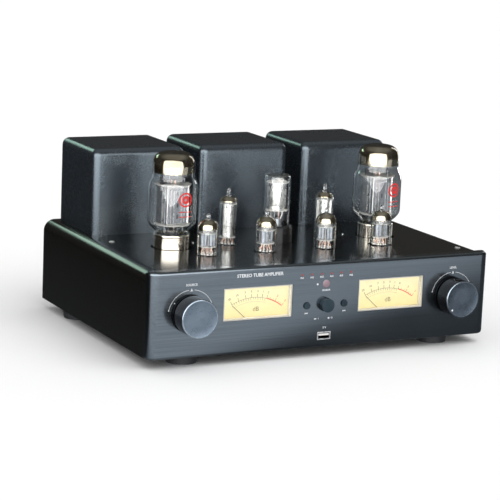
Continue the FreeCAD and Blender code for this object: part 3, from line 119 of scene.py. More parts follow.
class Form:
    """A mesh gathered from simple shapes. Sizes are given in millimetres in the form's own place."""

    def __init__(self):
        self.points, self.faces, self.kinds = [], [], []

    def add(self, points, faces, place, kind=0):
        start = len(self.points)
        self.points += [place @ (Vector(point) * MM) for point in points]
        self.faces += [[start + index for index in face] for face in faces]
        self.kinds += [kind] * len(faces)

    def lathe(self, profile, place, kind=0, steps=96, closed=False):
        """Turns (radius, height) points about the upright axis; closed joins the last point to the first."""
        points, rows, faces = [], [], []
        for radius, height in profile:
            count = 1 if radius < ON_AXIS else steps
            rows.append([len(points) + step for step in range(count)])
            for step in range(count):
                angle = 2 * math.pi * step / steps
                points.append((radius * math.cos(angle), radius * math.sin(angle), height))
        following = rows[1:] + rows[:1] if closed else rows[1:]
        for lower, upper in zip(rows, following):
            for step in range(steps):
                corners = [lower[step % len(lower)], lower[(step + 1) % len(lower)],
                           upper[(step + 1) % len(upper)], upper[step % len(upper)]]
                corners = list(dict.fromkeys(corners))
                if len(corners) > 2:
                    faces.append(corners)
        self.add(points, faces, place, kind)

    def perforated(self, across, up, holes, low, high, place, kind=0):
        """A plate on a grid of lines across and up, thick from low to high, without the cells listed in holes."""
        columns, lines = len(across), len(up)
        points = [(x, y, z) for z in (low, high) for y in up for x in across]
        there = {(i, j) for i in range(columns - 1) for j in range(lines - 1)} - set(holes)
        faces = []
        for i, j in sorted(there):
            a, b = j * columns + i, j * columns + i + 1
            c, d = b + columns, a + columns
            top = columns * lines
            faces += [[d, c, b, a], [a + top, b + top, c + top, d + top]]
            edges = (((i, j - 1), a, b), ((i + 1, j), b, c), ((i, j + 1), c, d), ((i - 1, j), d, a))
            faces += [[p, q, q + top, p + top] for beside, p, q in edges if beside not in there]
        self.add(points, faces, place, kind)

    def prism(self, outline, low, high, place, kind=0):
        """A flat outline given thickness from low to high along its own Z."""
        points = [(x, y, height) for height in (low, high) for x, y in outline]
        self.add(points, prism_faces(len(outline)), place, kind)

    def ribbon(self, path, width, low, high, place, kind=0):
        """A strip of that width along a flat path, given thickness from low to high."""
        left, right = [], []
        for number, point in enumerate(path):
            before, after = path[max(number - 1, 0)], path[min(number + 1, len(path) - 1)]
            along = (Vector(after) - Vector(before)).normalized()
            across = Vector((-along.y, along.x)) * width / 2
            left.append(tuple(Vector(point) + across))
            right.append(tuple(Vector(point) - across))
        for first, second, third, fourth in zip(left, left[1:], right[1:], right):
            self.prism([first, second, third, fourth], low, high, place, kind)

    def wire(self, path, radius, place, kind=0, sides=10, closed=False):
        """A round wire along points in space."""
        points, rows = [], []
        across = None
        count = len(path)
        for number in range(count):
            before = path[number - 1] if closed or number else path[0]
            after = path[(number + 1) % count] if closed or number + 1 < count else path[-1]
            along = (Vector(after) - Vector(before)).normalized()
            if across is None:
                across = along.orthogonal().normalized()
            across = (across - along * across.dot(along)).normalized()
            other = along.cross(across)
            rows.append([len(points) + side for side in range(sides)])
            for side in range(sides):
                angle = 2 * math.pi * side / sides
                points.append(Vector(path[number]) + (across * math.cos(angle) + other * math.sin(angle)) * radius)
        faces = []
        for lower, upper in list(zip(rows, rows[1:])) + ([(rows[-1], rows[0])] if closed else []):
            faces += [[lower[s], lower[(s + 1) % sides], upper[(s + 1) % sides], upper[s]] for s in range(sides)]
        if not closed:
            faces += [rows[0][::-1], rows[-1]]
        self.add(points, faces, place, kind)

    def lettering(self, text, height, place, kind=0, thick=0.03, weight=0.03):
        """Raised print of that capital height, centred on its place."""
        curve = bpy.data.curves.new("lettering", "FONT")
        curve.body = text
        curve.size = height / CAPITAL_HEIGHT
        curve.extrude = thick / 2
        curve.offset = height * weight
        curve.resolution_u = 3
        curve.align_x, curve.align_y = "CENTER", "CENTER"
        holder = bpy.data.objects.new("lettering", curve)
        mesh = bpy.data.meshes.new_from_object(holder)
        self.add([vertex.co for vertex in mesh.vertices], [list(face.vertices) for face in mesh.polygons],
                 place, kind)
        bpy.data.meshes.remove(mesh)
        bpy.data.objects.remove(holder)

    def piece(self, name, materials, body="chassis", stands_for=(), slot=None, sharp=35):
        """Makes the object, smooth except at its sharp edges, and lets it ride on its body."""
        mesh = bpy.data.meshes.new(name)
        mesh.from_pydata(self.points, [], self.faces)
        for material in materials:
            mesh.materials.append(material)
        mesh.polygons.foreach_set("material_index", self.kinds)
        work = bmesh.new()
        work.from_mesh(mesh)
        bmesh.ops.remove_doubles(work, verts=work.verts, dist=SAME_POINT)
        bmesh.ops.recalc_face_normals(work, faces=work.faces)
        work.to_mesh(mesh)
        work.free()
        mesh.shade_smooth()
        mesh.set_sharp_from_angle(angle=math.radians(sharp))
        made = new_object(name, mesh)
        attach(made, body)
        if stands_for:
            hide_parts(*stands_for)
        return made


def arc(radius, start, end, steps, x=0.0, y=0.0):
    """Points on a circle from one angle to another, in degrees."""
    angles = [math.radians(start + (end - start) * step / steps) for step in range(steps + 1)]
    return [(x + radius * math.cos(angle), y + radius * math.sin(angle)) for angle in angles]


def box_outline(low_x, high_x, low_y, high_y):
    """The four corners of a flat rectangle."""
    return [(low_x, low_y), (high_x, low_y), (high_x, high_y), (low_x, high_y)]


# ---------------------------------------------------------------- finishes
class Graph:
    """A node tree to build in."""

    def __init__(self, tree):
        self.tree, self.nodes = tree, tree.nodes

    def link(self, source, target):
        self.tree.links.new(source, target)

    def add(self, kind, result, links=(), **values):
        """Adds a node with inputs linked and set, and gives back one of its outputs."""
        node = self.nodes.new("ShaderNode" + kind)
        for socket, source in dict(links).items():
            self.link(source, node.inputs[socket])
        for socket, value in values.items():
            node.inputs[socket.replace("_", " ")].default_value = value
        return node.outputs[result]

    def sum(self, first, second, operation="ADD"):
        node = self.nodes.new("ShaderNodeMath")
        node.operation = operation
        for socket, value in zip(node.inputs, (first, second)):
            if isinstance(value, (int, float)):
                socket.default_value = value
            else:
                self.link(value, socket)
        return node.outputs["Value"]

    def mix_shaders(self, factor, first, second, output):
        """Sends a mix of two shader nodes to the surface of that output node."""
        mixed = self.add("MixShader", 0, {0: factor, 1: first.outputs[0], 2: second.outputs[0]})
        self.link(mixed, self.nodes[output].inputs["Surface"])


class Finish(Graph):
    """A node material. Each method adds one node and gives back its output."""

    def __init__(self, name, **sockets):
        self.material = bpy.data.materials.new(name)
        self.material.use_nodes = True
        super().__init__(self.material.node_tree)
        self.shader = self.nodes["Principled BSDF"]
        self.object = self.nodes.new("ShaderNodeTexCoord").outputs["Object"]
        for socket, value in sockets.items():
            self.shader.inputs[socket.replace("_", " ")].default_value = value

    def feed(self, **sources):
        for socket, source in sources.items():
            self.link(source, self.shader.inputs[socket.replace("_", " ")])

    def stretched(self, x, y, z):
        return self.add("Mapping", "Vector", {"Vector": self.object}, Scale=(x, y, z))

    def noise(self, scale, detail=3.0, where=None, roughness=0.55):
        return self.add("TexNoise", "Fac", {"Vector": where or self.object}, Scale=scale, Detail=detail,
                        Roughness=roughness)

    def cells(self, scale):
        return self.add("TexVoronoi", "Distance", {"Vector": self.object}, Scale=scale)

    def axis(self, letter):
        return self.add("SeparateXYZ", letter, {"Vector": self.object})

    def span(self, value, low, high, start, end, smooth=False):
        """Maps low..high to start..end, held at the ends."""
        node = self.nodes.new("ShaderNodeMapRange")
        node.interpolation_type = "SMOOTHSTEP" if smooth else "LINEAR"
        for socket, number in zip(("From Min", "From Max", "To Min", "To Max"), (low, high, start, end)):
            node.inputs[socket].default_value = number
        self.link(value, node.inputs["Value"])
        return node.outputs["Result"]

    def patches(self, value, start=0.0, end=1.0):
        """Spreads the middle of a noise over start..end."""
        return self.span(value, 0.3, 0.7, start, end)

    def colours(self, factor, first, second):
        node = self.nodes.new("ShaderNodeMix")
        node.data_type = "RGBA"
        for socket, colour in ((node.inputs[6], first), (node.inputs[7], second)):
            if isinstance(colour, tuple):
                socket.default_value = (*colour, 1.0)
            else:
                self.link(colour, socket)
        self.link(factor, node.inputs[0])
        return node.outputs[2]

    def bump(self, height, distance, strength=1.0):
        """A bump that many millimetres deep."""
        return self.add("Bump", "Normal", {"Height": height}, Strength=strength, Distance=distance * MM)

    def lets_lamps_through(self):
        """Light from lamps reaches what is behind the clear surface."""
        clear = self.nodes.new("ShaderNodeBsdfTransparent")
        self.mix_shaders(self.add("LightPath", "Is Shadow Ray"), self.shader, clear, "Material Output")


def brushed_black(name, colour, lighter, grain, roughness=0.17, metallic=1.0):
    """Dark anodised aluminium; grain gives the stretch of its brush lines along X, Y and Z."""
    made = Finish(name, Metallic=metallic)
    fine = made.noise(1.0, 5.0, made.stretched(*grain), 0.7)
    cloud = made.noise(9.0)
    streak = made.patches(fine)
    made.feed(Base_Color=made.colours(streak, colour, lighter),
              Roughness=made.sum(made.span(streak, 0, 1, roughness - 0.02, roughness + 0.03),
                                 made.span(cloud, 0.35, 0.7, -0.02, 0.03)),
              Normal=made.bump(fine, 0.003, 0.35))
    return made.material


def turned_metal(name, colour, lighter, roughness, metallic=0.9):
    """Metal turned on a lathe, with fine rings about its own middle drawn by noise in the radius."""
    made = Finish(name, Metallic=metallic)
    rings = made.noise(1.0, 5.0, made.stretched(260, 40, 260))
    cloud = made.noise(60.0)
    made.feed(Base_Color=made.colours(made.patches(cloud), colour, lighter),
              Roughness=made.sum(made.patches(rings, roughness - 0.05, roughness + 0.05),
                                 made.span(cloud, 0.35, 0.7, -0.02, 0.04)),
              Normal=made.bump(rings, 0.008, 0.4))
    return made.material


def satin_coat(name, colour, dust, roughness=0.34, peel=0.02, **sockets):
    """Sprayed satin paint: fine orange peel, faint dust, worn a little smoother in places."""
    made = Finish(name, **sockets)
    peel_noise = made.noise(900.0, 2.0)
    cloud = made.noise(14.0, 4.0)
    specks = made.span(made.cells(260.0), 0.0, 0.05, 1.0, 0.0)
    speck_mask = made.sum(specks, made.span(made.noise(60.0), 0.6, 0.75, 0.0, 0.6), "MULTIPLY")
    made.feed(Base_Color=made.colours(speck_mask, colour, dust),
              Roughness=made.sum(made.patches(cloud, roughness - 0.015, roughness + 0.02),
                                 made.patches(peel_noise, -0.008, 0.01)),
              Normal=made.bump(peel_noise, peel, 0.2))
    return made.material


def moulded(name, colour, lighter, roughness=0.45, grain=1400.0, depth=0.02, **sockets):
    """Moulded plastic, rubber or ceramic with a fine grain."""
    made = Finish(name, **sockets)
    fine = made.noise(grain, 2.0)
    cloud = made.noise(45.0)
    made.feed(Base_Color=made.colours(made.patches(cloud), colour, lighter),
              Roughness=made.sum(made.patches(fine, roughness - 0.06, roughness + 0.06),
                                 made.patches(cloud, -0.03, 0.03)),
              Normal=made.bump(fine, depth, 0.4))
    return made.material


def bare_metal(name, colour, lighter, roughness, scale=300.0, metallic=1.0, bend=0.03):
    """Plated or drawn metal with soft handling marks."""
    made = Finish(name, Metallic=metallic)
    marks = made.noise(scale, 4.0)
    waves = made.noise(scale / 8, 2.0)
    made.feed(Base_Color=made.colours(made.patches(marks), colour, lighter),
              Roughness=made.patches(marks, max(roughness - 0.05, 0.02), roughness + 0.07),
              Normal=made.bump(waves, bend, 0.35))
    return made.material


def clear_glass(name, tint, roughness=0.0, ior=1.48):
    """Blown glass: faint waves in its thickness and a trace of haze."""
    made = Finish(name, Transmission_Weight=1.0, IOR=ior)
    waves = made.noise(55.0, 2.0)
    haze = made.noise(160.0)
    made.feed(Base_Color=made.colours(made.span(haze, 0.3, 0.75, 0.0, 1.0), tint, tuple(c * 0.96 for c in tint)),
              Roughness=made.span(haze, 0.45, 0.8, roughness, roughness + 0.03),
              Normal=made.bump(waves, 0.06, 0.25))
    made.lets_lamps_through()
    return made.material


def getter_mirror(name, rim, blur):
    """Brown mirror-like film in the glass of a tube's dome, gone in a soft edge below rim."""
    made = Finish(name, Metallic=1.0)
    drift = made.sum(made.axis("Z"), made.span(made.noise(90.0), 0.2, 0.8, -0.5 * MM, 0.5 * MM))
    film = made.span(drift, rim - blur, rim + blur, 0.0, 1.0, smooth=True)
    tone = made.noise(70.0)
    made.feed(Base_Color=made.colours(made.patches(tone), (0.24, 0.20, 0.13), (0.36, 0.32, 0.245)),
              Roughness=made.patches(tone, 0.05, 0.14), Alpha=film,
              Normal=made.bump(made.noise(150.0, 2.0), 0.08, 0.3))
    return made.material


def lit_paper(name, colour, edge, strength):
    """Dial card lit from behind: its glow stands for the lamp behind it, and a painted falloff of that backlight turns
    the glow and the card's colour deeper yellow towards the foot.
    """
    made = Finish(name, Roughness=0.6, Emission_Strength=strength)
    fibre = made.noise(700.0)
    # Painted backlight falloff: 0 at the foot and 1 higher up, so the deeper yellow edge colour shows low on the card.
    glow = made.span(made.axis("Z"), PANEL_FOOT + 34 * MM, PANEL_FOOT + 64 * MM, 0.0, 1.0, smooth=True)
    backlight_falloff_and_fibre = made.sum(glow, made.patches(fibre, -0.06, 0.06))
    tone = made.colours(backlight_falloff_and_fibre, edge, colour)
    made.feed(Base_Color=made.colours(backlight_falloff_and_fibre, (0.10, 0.085, 0.04), (0.12, 0.11, 0.06)), Emission_Color=tone,
              Normal=made.bump(fibre, 0.01, 0.3))
    return made.material


def lamp_plastic(name):
    """Red light pipes of the upper row; the lower one, beside the lens, is white."""
    made = Finish(name, Emission_Strength=0.35)
    fine = made.noise(900.0, 2.0)
    upper = made.span(made.axis("Z"), PANEL_FOOT + 70 * MM, PANEL_FOOT + 71 * MM, 0.0, 1.0)
    red = made.colours(fine, (0.20, 0.02, 0.02), (0.30, 0.05, 0.04))
    made.feed(Base_Color=made.colours(upper, (0.75, 0.75, 0.78), red), Roughness=made.patches(fine, 0.2, 0.35),
              Emission_Color=made.colours(upper, (0.5, 0.5, 0.52), (0.35, 0.02, 0.02)))
    return made.material


def print_ink(name, colour, glow=0.0):
    """Screen-printed ink, slightly uneven in its cover. With glow the ink gives off light: on the dial's red print
    that is the lamp behind the card shining through, and on the bulbs' red print it is a painted glow.
    """
    made = Finish(name, Emission_Strength=glow)
    cover = made.noise(500.0)
    tone = made.colours(made.patches(cover), tuple(c * 0.86 for c in colour), colour)
    made.feed(Base_Color=tone, Roughness=made.patches(cover, 0.45, 0.6))
    if glow:
        made.feed(Emission_Color=tone)
    return made.material


SLOT_FINISH = {
    "panel_anodised": brushed_black("panel_brushed", (0.10, 0.117, 0.132), (0.155, 0.178, 0.20), (4, 1300, 1300)),
    "shell_coated": satin_coat("shell_satin", (0.0026, 0.0027, 0.0025), (0.02, 0.02, 0.02), 0.17, 0.004),
    "rear_coated": satin_coat("rear_texture", (0.016, 0.016, 0.016), (0.05, 0.05, 0.05), 0.45, 0.06),
    "tray_steel": satin_coat("tray_satin", (0.02, 0.02, 0.02), (0.06, 0.06, 0.06), 0.45),
    "cover_coated": satin_coat("cover_satin", (0.010, 0.013, 0.018), (0.03, 0.033, 0.04), 0.27, 0.0015,
                               IOR=1.6, Specular_IOR_Level=1.0, Specular_Tint=(0.76, 0.90, 1.0, 1.0)),
    "foot_rubber": moulded("foot_rubber", (0.018, 0.022, 0.026), (0.03, 0.034, 0.04), 0.55),
    "plated_steel": bare_metal("zinc_plate", (0.5, 0.5, 0.48), (0.6, 0.6, 0.58), 0.3),
    "bright_steel": bare_metal("bright_plate", (0.72, 0.72, 0.72), (0.85, 0.85, 0.85), 0.14),
    "core_laminations": brushed_black("laminations", (0.08, 0.075, 0.07), (0.16, 0.15, 0.14), (900, 5, 5), 0.5, 0.6),
    "winding_wrap": moulded("winding_tape", (0.42, 0.3, 0.1), (0.52, 0.38, 0.16), 0.5, 260.0, 0.08),
    "tube_glass": clear_glass("tube_glass", (0.97, 0.98, 0.98)),
    "base_chrome": bare_metal("base_plate", (0.84, 0.78, 0.66), (0.93, 0.88, 0.77), 0.10, 200.0),
    "base_bakelite": moulded("bakelite", (0.008, 0.008, 0.009), (0.016, 0.016, 0.018), 0.2),
    "electrode_metal": bare_metal("nickel_plate", (0.20, 0.215, 0.235), (0.34, 0.36, 0.39), 0.36, 240.0, 0.9),
    "socket_ceramic": moulded("ceramic", (0.10, 0.10, 0.095), (0.15, 0.145, 0.14), 0.4),
    "board_laminate": moulded("board_green", (0.03, 0.14, 0.07), (0.05, 0.2, 0.1), 0.4, 300.0, 0.04),
    "capacitor_sleeve": moulded("sleeve", (0.03, 0.05, 0.12), (0.05, 0.07, 0.16), 0.3),
    "knob_anodised": turned_metal("knob_satin", (0.095, 0.12, 0.15), (0.13, 0.16, 0.195), 0.30),
    "shaft_steel": turned_metal("shaft_steel", (0.5, 0.5, 0.5), (0.6, 0.6, 0.6), 0.3),
    "control_body": moulded("control_body", (0.1, 0.1, 0.1), (0.14, 0.14, 0.14), 0.45),
    "button_anodised": turned_metal("button_satin", (0.024, 0.038, 0.048), (0.04, 0.058, 0.07), 0.3),
    "meter_plastic": moulded("meter_liner", (0.55, 0.53, 0.49), (0.62, 0.60, 0.56), 0.5),
    # The dial's second colour is the deeper yellow of the painted backlight falloff at its foot.
    "dial_paper": lit_paper("dial_paper", (1.0, 0.89, 0.53), (1.0, 0.83, 0.38), 0.88),
    "needle_black": moulded("needle_paint", (0.05, 0.045, 0.03), (0.08, 0.07, 0.05), 0.4),
    "window_clear": clear_glass("window_acrylic", (1.0, 1.0, 1.0), 0.0, 1.25),
    "lamp_red": lamp_plastic("lamp_pipes"),
    "lens_pink": moulded("lens_pink", (0.26, 0.17, 0.20), (0.36, 0.25, 0.28), 0.3),
    "socket_steel": bare_metal("port_plate", (0.80, 0.80, 0.82), (0.95, 0.95, 0.95), 0.3),
    "inlet_plastic": moulded("inlet_plastic", (0.02, 0.02, 0.02), (0.035, 0.035, 0.035), 0.5),
    "terminal_cap_plastic": moulded("terminal_red", (0.34, 0.02, 0.02), (0.42, 0.035, 0.03), 0.28),
    "gold_brass": bare_metal("gold_plate", (0.83, 0.61, 0.26), (0.95, 0.76, 0.4), 0.16),
}
WHITE_INK = print_ink("white_ink", (0.80, 0.83, 0.86))
DIAL_INK = print_ink("dial_ink", (0.13, 0.115, 0.06))
DIAL_RED = print_ink("dial_red", (0.55, 0.06, 0.03), 0.25)
# The bulbs' red print gets a faint painted glow.
TUBE_RED = print_ink("tube_red", (0.72, 0.01, 0.008), 0.12)
BLACK_CAPS = (2, 4)
BLACK_CAP = moulded("terminal_black", (0.02, 0.02, 0.02), (0.03, 0.03, 0.03), 0.28)
KNOB_SIDE = moulded("knob_side", (0.004, 0.004, 0.005), (0.009, 0.009, 0.01), 0.16, 300.0, 0.01,
                   Specular_IOR_Level=0.2)
KNOB_EDGE = bare_metal("knob_edge", (0.20, 0.24, 0.28), (0.28, 0.32, 0.36), 0.18)
MICA = moulded("mica", (0.40, 0.39, 0.36), (0.56, 0.55, 0.52), 0.35, 400.0, 0.03)
COPPER = bare_metal("lead_copper", (0.62, 0.38, 0.28), (0.80, 0.56, 0.44), 0.3)
BRIGHT_NICKEL = bare_metal("bright_nickel", (0.50, 0.50, 0.48), (0.72, 0.71, 0.68), 0.28, 160.0, 0.9)
DARK_PLATE = bare_metal("dark_plate", (0.035, 0.038, 0.04), (0.07, 0.07, 0.075), 0.5, 240.0, 0.5)
WHITE_PLASTIC = moulded("tongue_white", (0.75, 0.72, 0.71), (0.84, 0.82, 0.80), 0.4)
RED_PLASTIC = moulded("ring_red", (0.45, 0.02, 0.02), (0.55, 0.04, 0.03), 0.4)
POWER_GETTER = getter_mirror("getter_power", PLATE + 78.6 * MM, 0.5 * MM)
SMALL_GETTER = getter_mirror("getter_small", PLATE + 27.0 * MM, 0.5 * MM)
TALL_GETTER = getter_mirror("getter_tall", PLATE + 45.5 * MM, 0.5 * MM)


def dress_cad_nodes():
    """Every carried-over CAD node takes the finish of its material slot."""
    for part in frame["record"]["subparts"]:
        for material_slot in frame["nodes"][part["node"]].material_slots:
            material_slot.material = SLOT_FINISH[part["material_slot"]]
    for number in BLACK_CAPS:
        frame["nodes"][f"terminal_cap_{number}"].material_slots[0].material = BLACK_CAP


# ---------------------------------------------------------------- tubes
def rounded_profile(corners, steps=8):
    """An outline of (radius, height, rounding) corners with each rounded corner drawn as a smooth curve."""
    points = []
    for number, (x, y, rounding) in enumerate(corners):
        here = Vector((x, y))
        if not rounding:
            points.append((x, y))
            continue
        before = Vector(corners[number - 1][:2])
        after = Vector(corners[number + 1][:2])
        start = here + (before - here).normalized() * rounding
        end = here + (after - here).normalized() * rounding
        for step in range(steps + 1):
            share = step / steps
            point = start * (1 - share) ** 2 + here * 2 * share * (1 - share) + end * share ** 2
            points.append((max(point.x, 0.0), point.y))
    return points


def inset(profile, depth, to_axis=True):
    """The same outline moved that far inwards, for one that runs from the foot up, as a rule to the axis."""
    moved = []
    for number, (x, y) in enumerate(profile):
        before, after = profile[max(number - 1, 0)], profile[min(number + 1, len(profile) - 1)]
        along = Vector((after[0] - before[0], after[1] - before[1])).normalized()
        moved.append((max(x - along.y * depth, 0.0), y + along.x * depth))
    if to_axis:
        moved[-1] = (0.0, moved[-1][1])
    return moved


GLASS_WALL = 1.0
FILM = 0.05


def envelope(name, node, outside, inside, place):
    """Blown glass between two outlines that both end on the axis, joined at their feet."""
    form = Form()
    form.lathe(outside + inside[::-1], place, steps=112, closed=True)
    form.piece(name, [SLOT_FINISH["tube_glass"]], stands_for=(node,), slot="tube_glass", sharp=60)


def getter_film(name, outside, foot, top, place, finish):
    """Thin metal film in a dome's glass, half way through its wall, from a foot height to a top height."""
    to_axis = outside[-1][1] <= top
    dome = [point for point in inset(outside, GLASS_WALL / 2) if foot < point[1] <= top]
    dome = [(inset(outside, GLASS_WALL / 2)[-1][0] + dome[0][0], foot)] + dome
    form = Form()
    form.lathe(dome + inset(dome, FILM, to_axis)[::-1], place, steps=112, closed=True)
    form.piece(name, [finish], slot="electrode_metal", sharp=80)


def micas(form, radius, heights, place, teeth=12, notch=0.94, thick=0.6):
    """Spacer discs with small teeth round their edge."""
    outline = []
    for step in range(teeth * 4):
        angle = 2 * math.pi * step / (teeth * 4)
        reach = radius if step % 4 < 2 else radius * notch
        outline.append((reach * math.cos(angle), reach * math.sin(angle)))
    for height in heights:
        form.prism(outline, height, height + thick, place, MICA_KIND)


def halo(form, radius, height, foot, place, kind):
    """Getter ring on its post."""
    ring = [(radius * math.cos(a), radius * math.sin(a), height)
            for a in (2 * math.pi * step / 40 for step in range(40))]
    form.wire(ring, 0.55, place, kind, closed=True)
    form.wire([(radius, 0, foot), (radius, 0, height)], 0.4, place, kind)


POWER_TURN = 8.0
ELECTRODE_FINISHES = [SLOT_FINISH["electrode_metal"], BRIGHT_NICKEL, MICA, DARK_PLATE, COPPER]
GREY_KIND, BRIGHT_KIND, MICA_KIND, DARK_KIND, COPPER_KIND = range(5)


def power_tube_inside(side, place):
    """Two half shells of the anode with a gap between them, mica spacers, stem, leads and getters."""
    low, high = 25.4, 65.4
    half, front, back, sheet = 12.0, 9.0, 10.0, 0.5
    form = Form()
    micas(form, 18.8, (low - 1.0, high + 0.4), place)
    lines = sorted([low, high] + [slot + end for slot in (33.3, 45.0, 56.6) for end in (-2.3, 2.3)])
    slots = [(1, row) for row in (1, 3, 5)]
    upright = place @ Matrix.Rotation(math.radians(90), 4, "X")
    form.perforated([-half, -1.1, 1.1, half], lines, slots, front, front + sheet, upright, GREY_KIND)
    form.perforated([-half - 1, -1.1, 1.1, half + 1], lines, slots, -back - sheet, -back, upright, GREY_KIND)
    form.prism(box_outline(-half + 2, half - 2, low + 2, high - 2), 4.0, 4.5, upright, DARK_KIND)
    for x in (-8.2, -4.6, 4.6, 8.2):
        form.prism(box_outline(x - 0.4, x + 0.4, low + 1.5, high - 3.5), front + sheet, front + sheet + 0.35, upright,
                   BRIGHT_KIND)
    for foot, top in ((high - 2.6, high), (low, low + 1.0)):
        form.prism(box_outline(-half, half, foot, top), front + sheet, front + sheet + 0.3, upright, BRIGHT_KIND)
    for way in (-1, 1):
        edge, wing = way * half, way * (half + 1.0)
        form.ribbon([(edge, -front), (edge, -6.4)], sheet, low, high, place, DARK_KIND)
        form.ribbon([(edge - way * 0.3, -front - 0.3), (edge + way * 1.0, -front - 1.4)], 0.6, low, high, place,
                    BRIGHT_KIND)
        form.ribbon([(wing, 0.0), (wing, back)], sheet, low, high, place, GREY_KIND)
        form.ribbon([(wing + way * 0.4, 0.0), (wing + way * 0.4, back)], 0.3, high - 2.6, high, place, BRIGHT_KIND)
        form.ribbon([(wing - way * 2.2, -0.2), (wing, 0.0)], sheet, low, high, place, BRIGHT_KIND)
        form.ribbon([(way * 9.8, -7.4), (way * 9.8, 1.0)], sheet, low, high, place, DARK_KIND)
        form.wire([(way * 11.2, -3.2, 17), (way * 11.2, -3.2, 72)], 0.7, place, GREY_KIND, 12)
        form.wire([(0, way * 3.4, 16), (0, way * 3.4, 70)], 0.8, place, COPPER_KIND, 12)
        form.ribbon([(way * 11.5, -4.5), (way * 13.5, 4.5)], sheet, high + 1.0, high + 8.5, place, DARK_KIND)
        halo(form, 4.6, 80.5, high + 1.0, moved(place, way * 8.0, 2.0), GREY_KIND)
    for step in range(8):
        angle = math.radians(22.5 + 45 * step)
        reach = 7.0 + 5.0 * (step % 2)
        bends = ((6.0, 12), (6.5, 18), (reach, 21.5), (reach, low))
        form.wire([(r * math.cos(angle), r * math.sin(angle), z) for r, z in bends], 0.4, place, GREY_KIND)
    form.lathe([(0, 11.4), (10.0, 11.4), (7.0, 14.5), (5.6, 19.0), (0, 20.0)], place, DARK_KIND, 48)
    form.piece(f"power_tube_{side}_inside", ELECTRODE_FINISHES, stands_for=(f"power_tube_{side}_electrodes",),
               slot="electrode_metal")


def power_tube_base(side, place):
    """Bright skirted base: rolled rims, a pinch groove and the black wafer with its pins below."""
    low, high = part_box(f"power_tube_{side}_base")
    radius, top = (high.x - low.x) / 2 / MM, (high.z - PLATE) / MM
    form = Form()
    skirt = rounded_profile([(radius - 3.4, top - 0.6, 0), (radius - 1.6, top, 0.6), (radius - 0.3, top - 0.4, 0.5),
                             (radius, top - 1.6, 0.5), (radius - 0.25, top - 2.4, 0.4), (radius - 0.25, -7.6, 0.4),
                             (radius, -8.4, 0.4), (radius, -10.0, 0.4), (radius - 1.6, -10.0, 0)], 4)
    form.lathe(skirt + [(radius - 1.6, top - 2.0), (radius - 3.4, top - 2.0)], place, 0, 128, closed=True)
    form.lathe([(0, -9.9), (radius - 1.7, -9.9), (radius - 1.7, -8.0), (0, -8.0)], place, 1, 64)
    form.lathe([(0, -18.9), (2.6, -18.9), (3.7, -17.8), (3.7, -9.9), (0, -9.9)], place, 1, 32)
    circle = 8.73
    for step in range(8):
        angle = math.radians(22.5 + 45 * step)
        at = moved(place, circle * math.cos(angle), circle * math.sin(angle))
        form.lathe([(0, -18.0), (0.7, -17.8), (1.15, -17.0), (1.15, -9.9), (0, -9.9)], at, 2, 16)
    finishes = [SLOT_FINISH["base_chrome"], SLOT_FINISH["base_bakelite"], SLOT_FINISH["bright_steel"]]
    form.piece(f"power_tube_{side}_skirt", finishes, stands_for=(f"power_tube_{side}_base",), slot="base_chrome")


def power_tube_mark(side, place):
    """Plain red print on the bulb, given a faint painted glow: a disc in a ring over two rows of short bars."""
    form = Form()
    bulb = (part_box(f"power_tube_{side}_glass")[1].x - middle(f"power_tube_{side}_glass").x) / MM

    def wrap(outline, x, z):
        """Bends a flat outline round the bulb, x and z from the middle of its front."""
        points = []
        for proud in (0.02, 0.08):
            for across, up in outline:
                angle = (across + x) / bulb
                points.append(((bulb + proud) * math.sin(angle), -(bulb + proud) * math.cos(angle), z + up))
        form.add(points, prism_faces(len(outline)), place)

    centre = 53.5
    for start in range(0, 360, 15):
        wrap(arc(7.6, start, start + 15, 2) + arc(5.9, start + 15, start, 2), 0, centre)
        wrap(arc(4.3, start, start + 15, 2) + arc(1.4, start + 15, start, 2), 0, centre)
    for height in (41.0, 36.0):
        for x in (-5.4, -1.8, 1.8, 5.4):
            wrap(box_outline(-1.4, 1.4, -0.55, 0.55), x, height)
    form.piece(f"power_tube_{side}_mark", [TUBE_RED], slot="tube_glass", sharp=50)


def power_tubes():
    """Stepped bulb with its getter film, inside, base and mark, on either side."""
    for side, mark_turn in (("left", 6.0), ("right", 15.0)):
        place = standing(f"power_tube_{side}_glass")
        outside = rounded_profile([(14.8, 11.2, 0), (15.0, 15.4, 0.5), (26.0, 25.5, 5.5), (26.0, 66.5, 4.0),
                                   (21.9, 73.5, 3.5), (21.9, 99.0, 13.5), (0, 100.0, 0)], 10)
        inside = inset(outside, GLASS_WALL)
        envelope(f"power_tube_{side}_envelope", f"power_tube_{side}_glass", outside, inside, place)
        getter_film(f"power_tube_{side}_getter", outside, 77.5, 101, place, POWER_GETTER)
        power_tube_inside(side, moved(place, turn=POWER_TURN))
        power_tube_base(side, place)
        power_tube_mark(side, moved(place, turn=mark_turn))


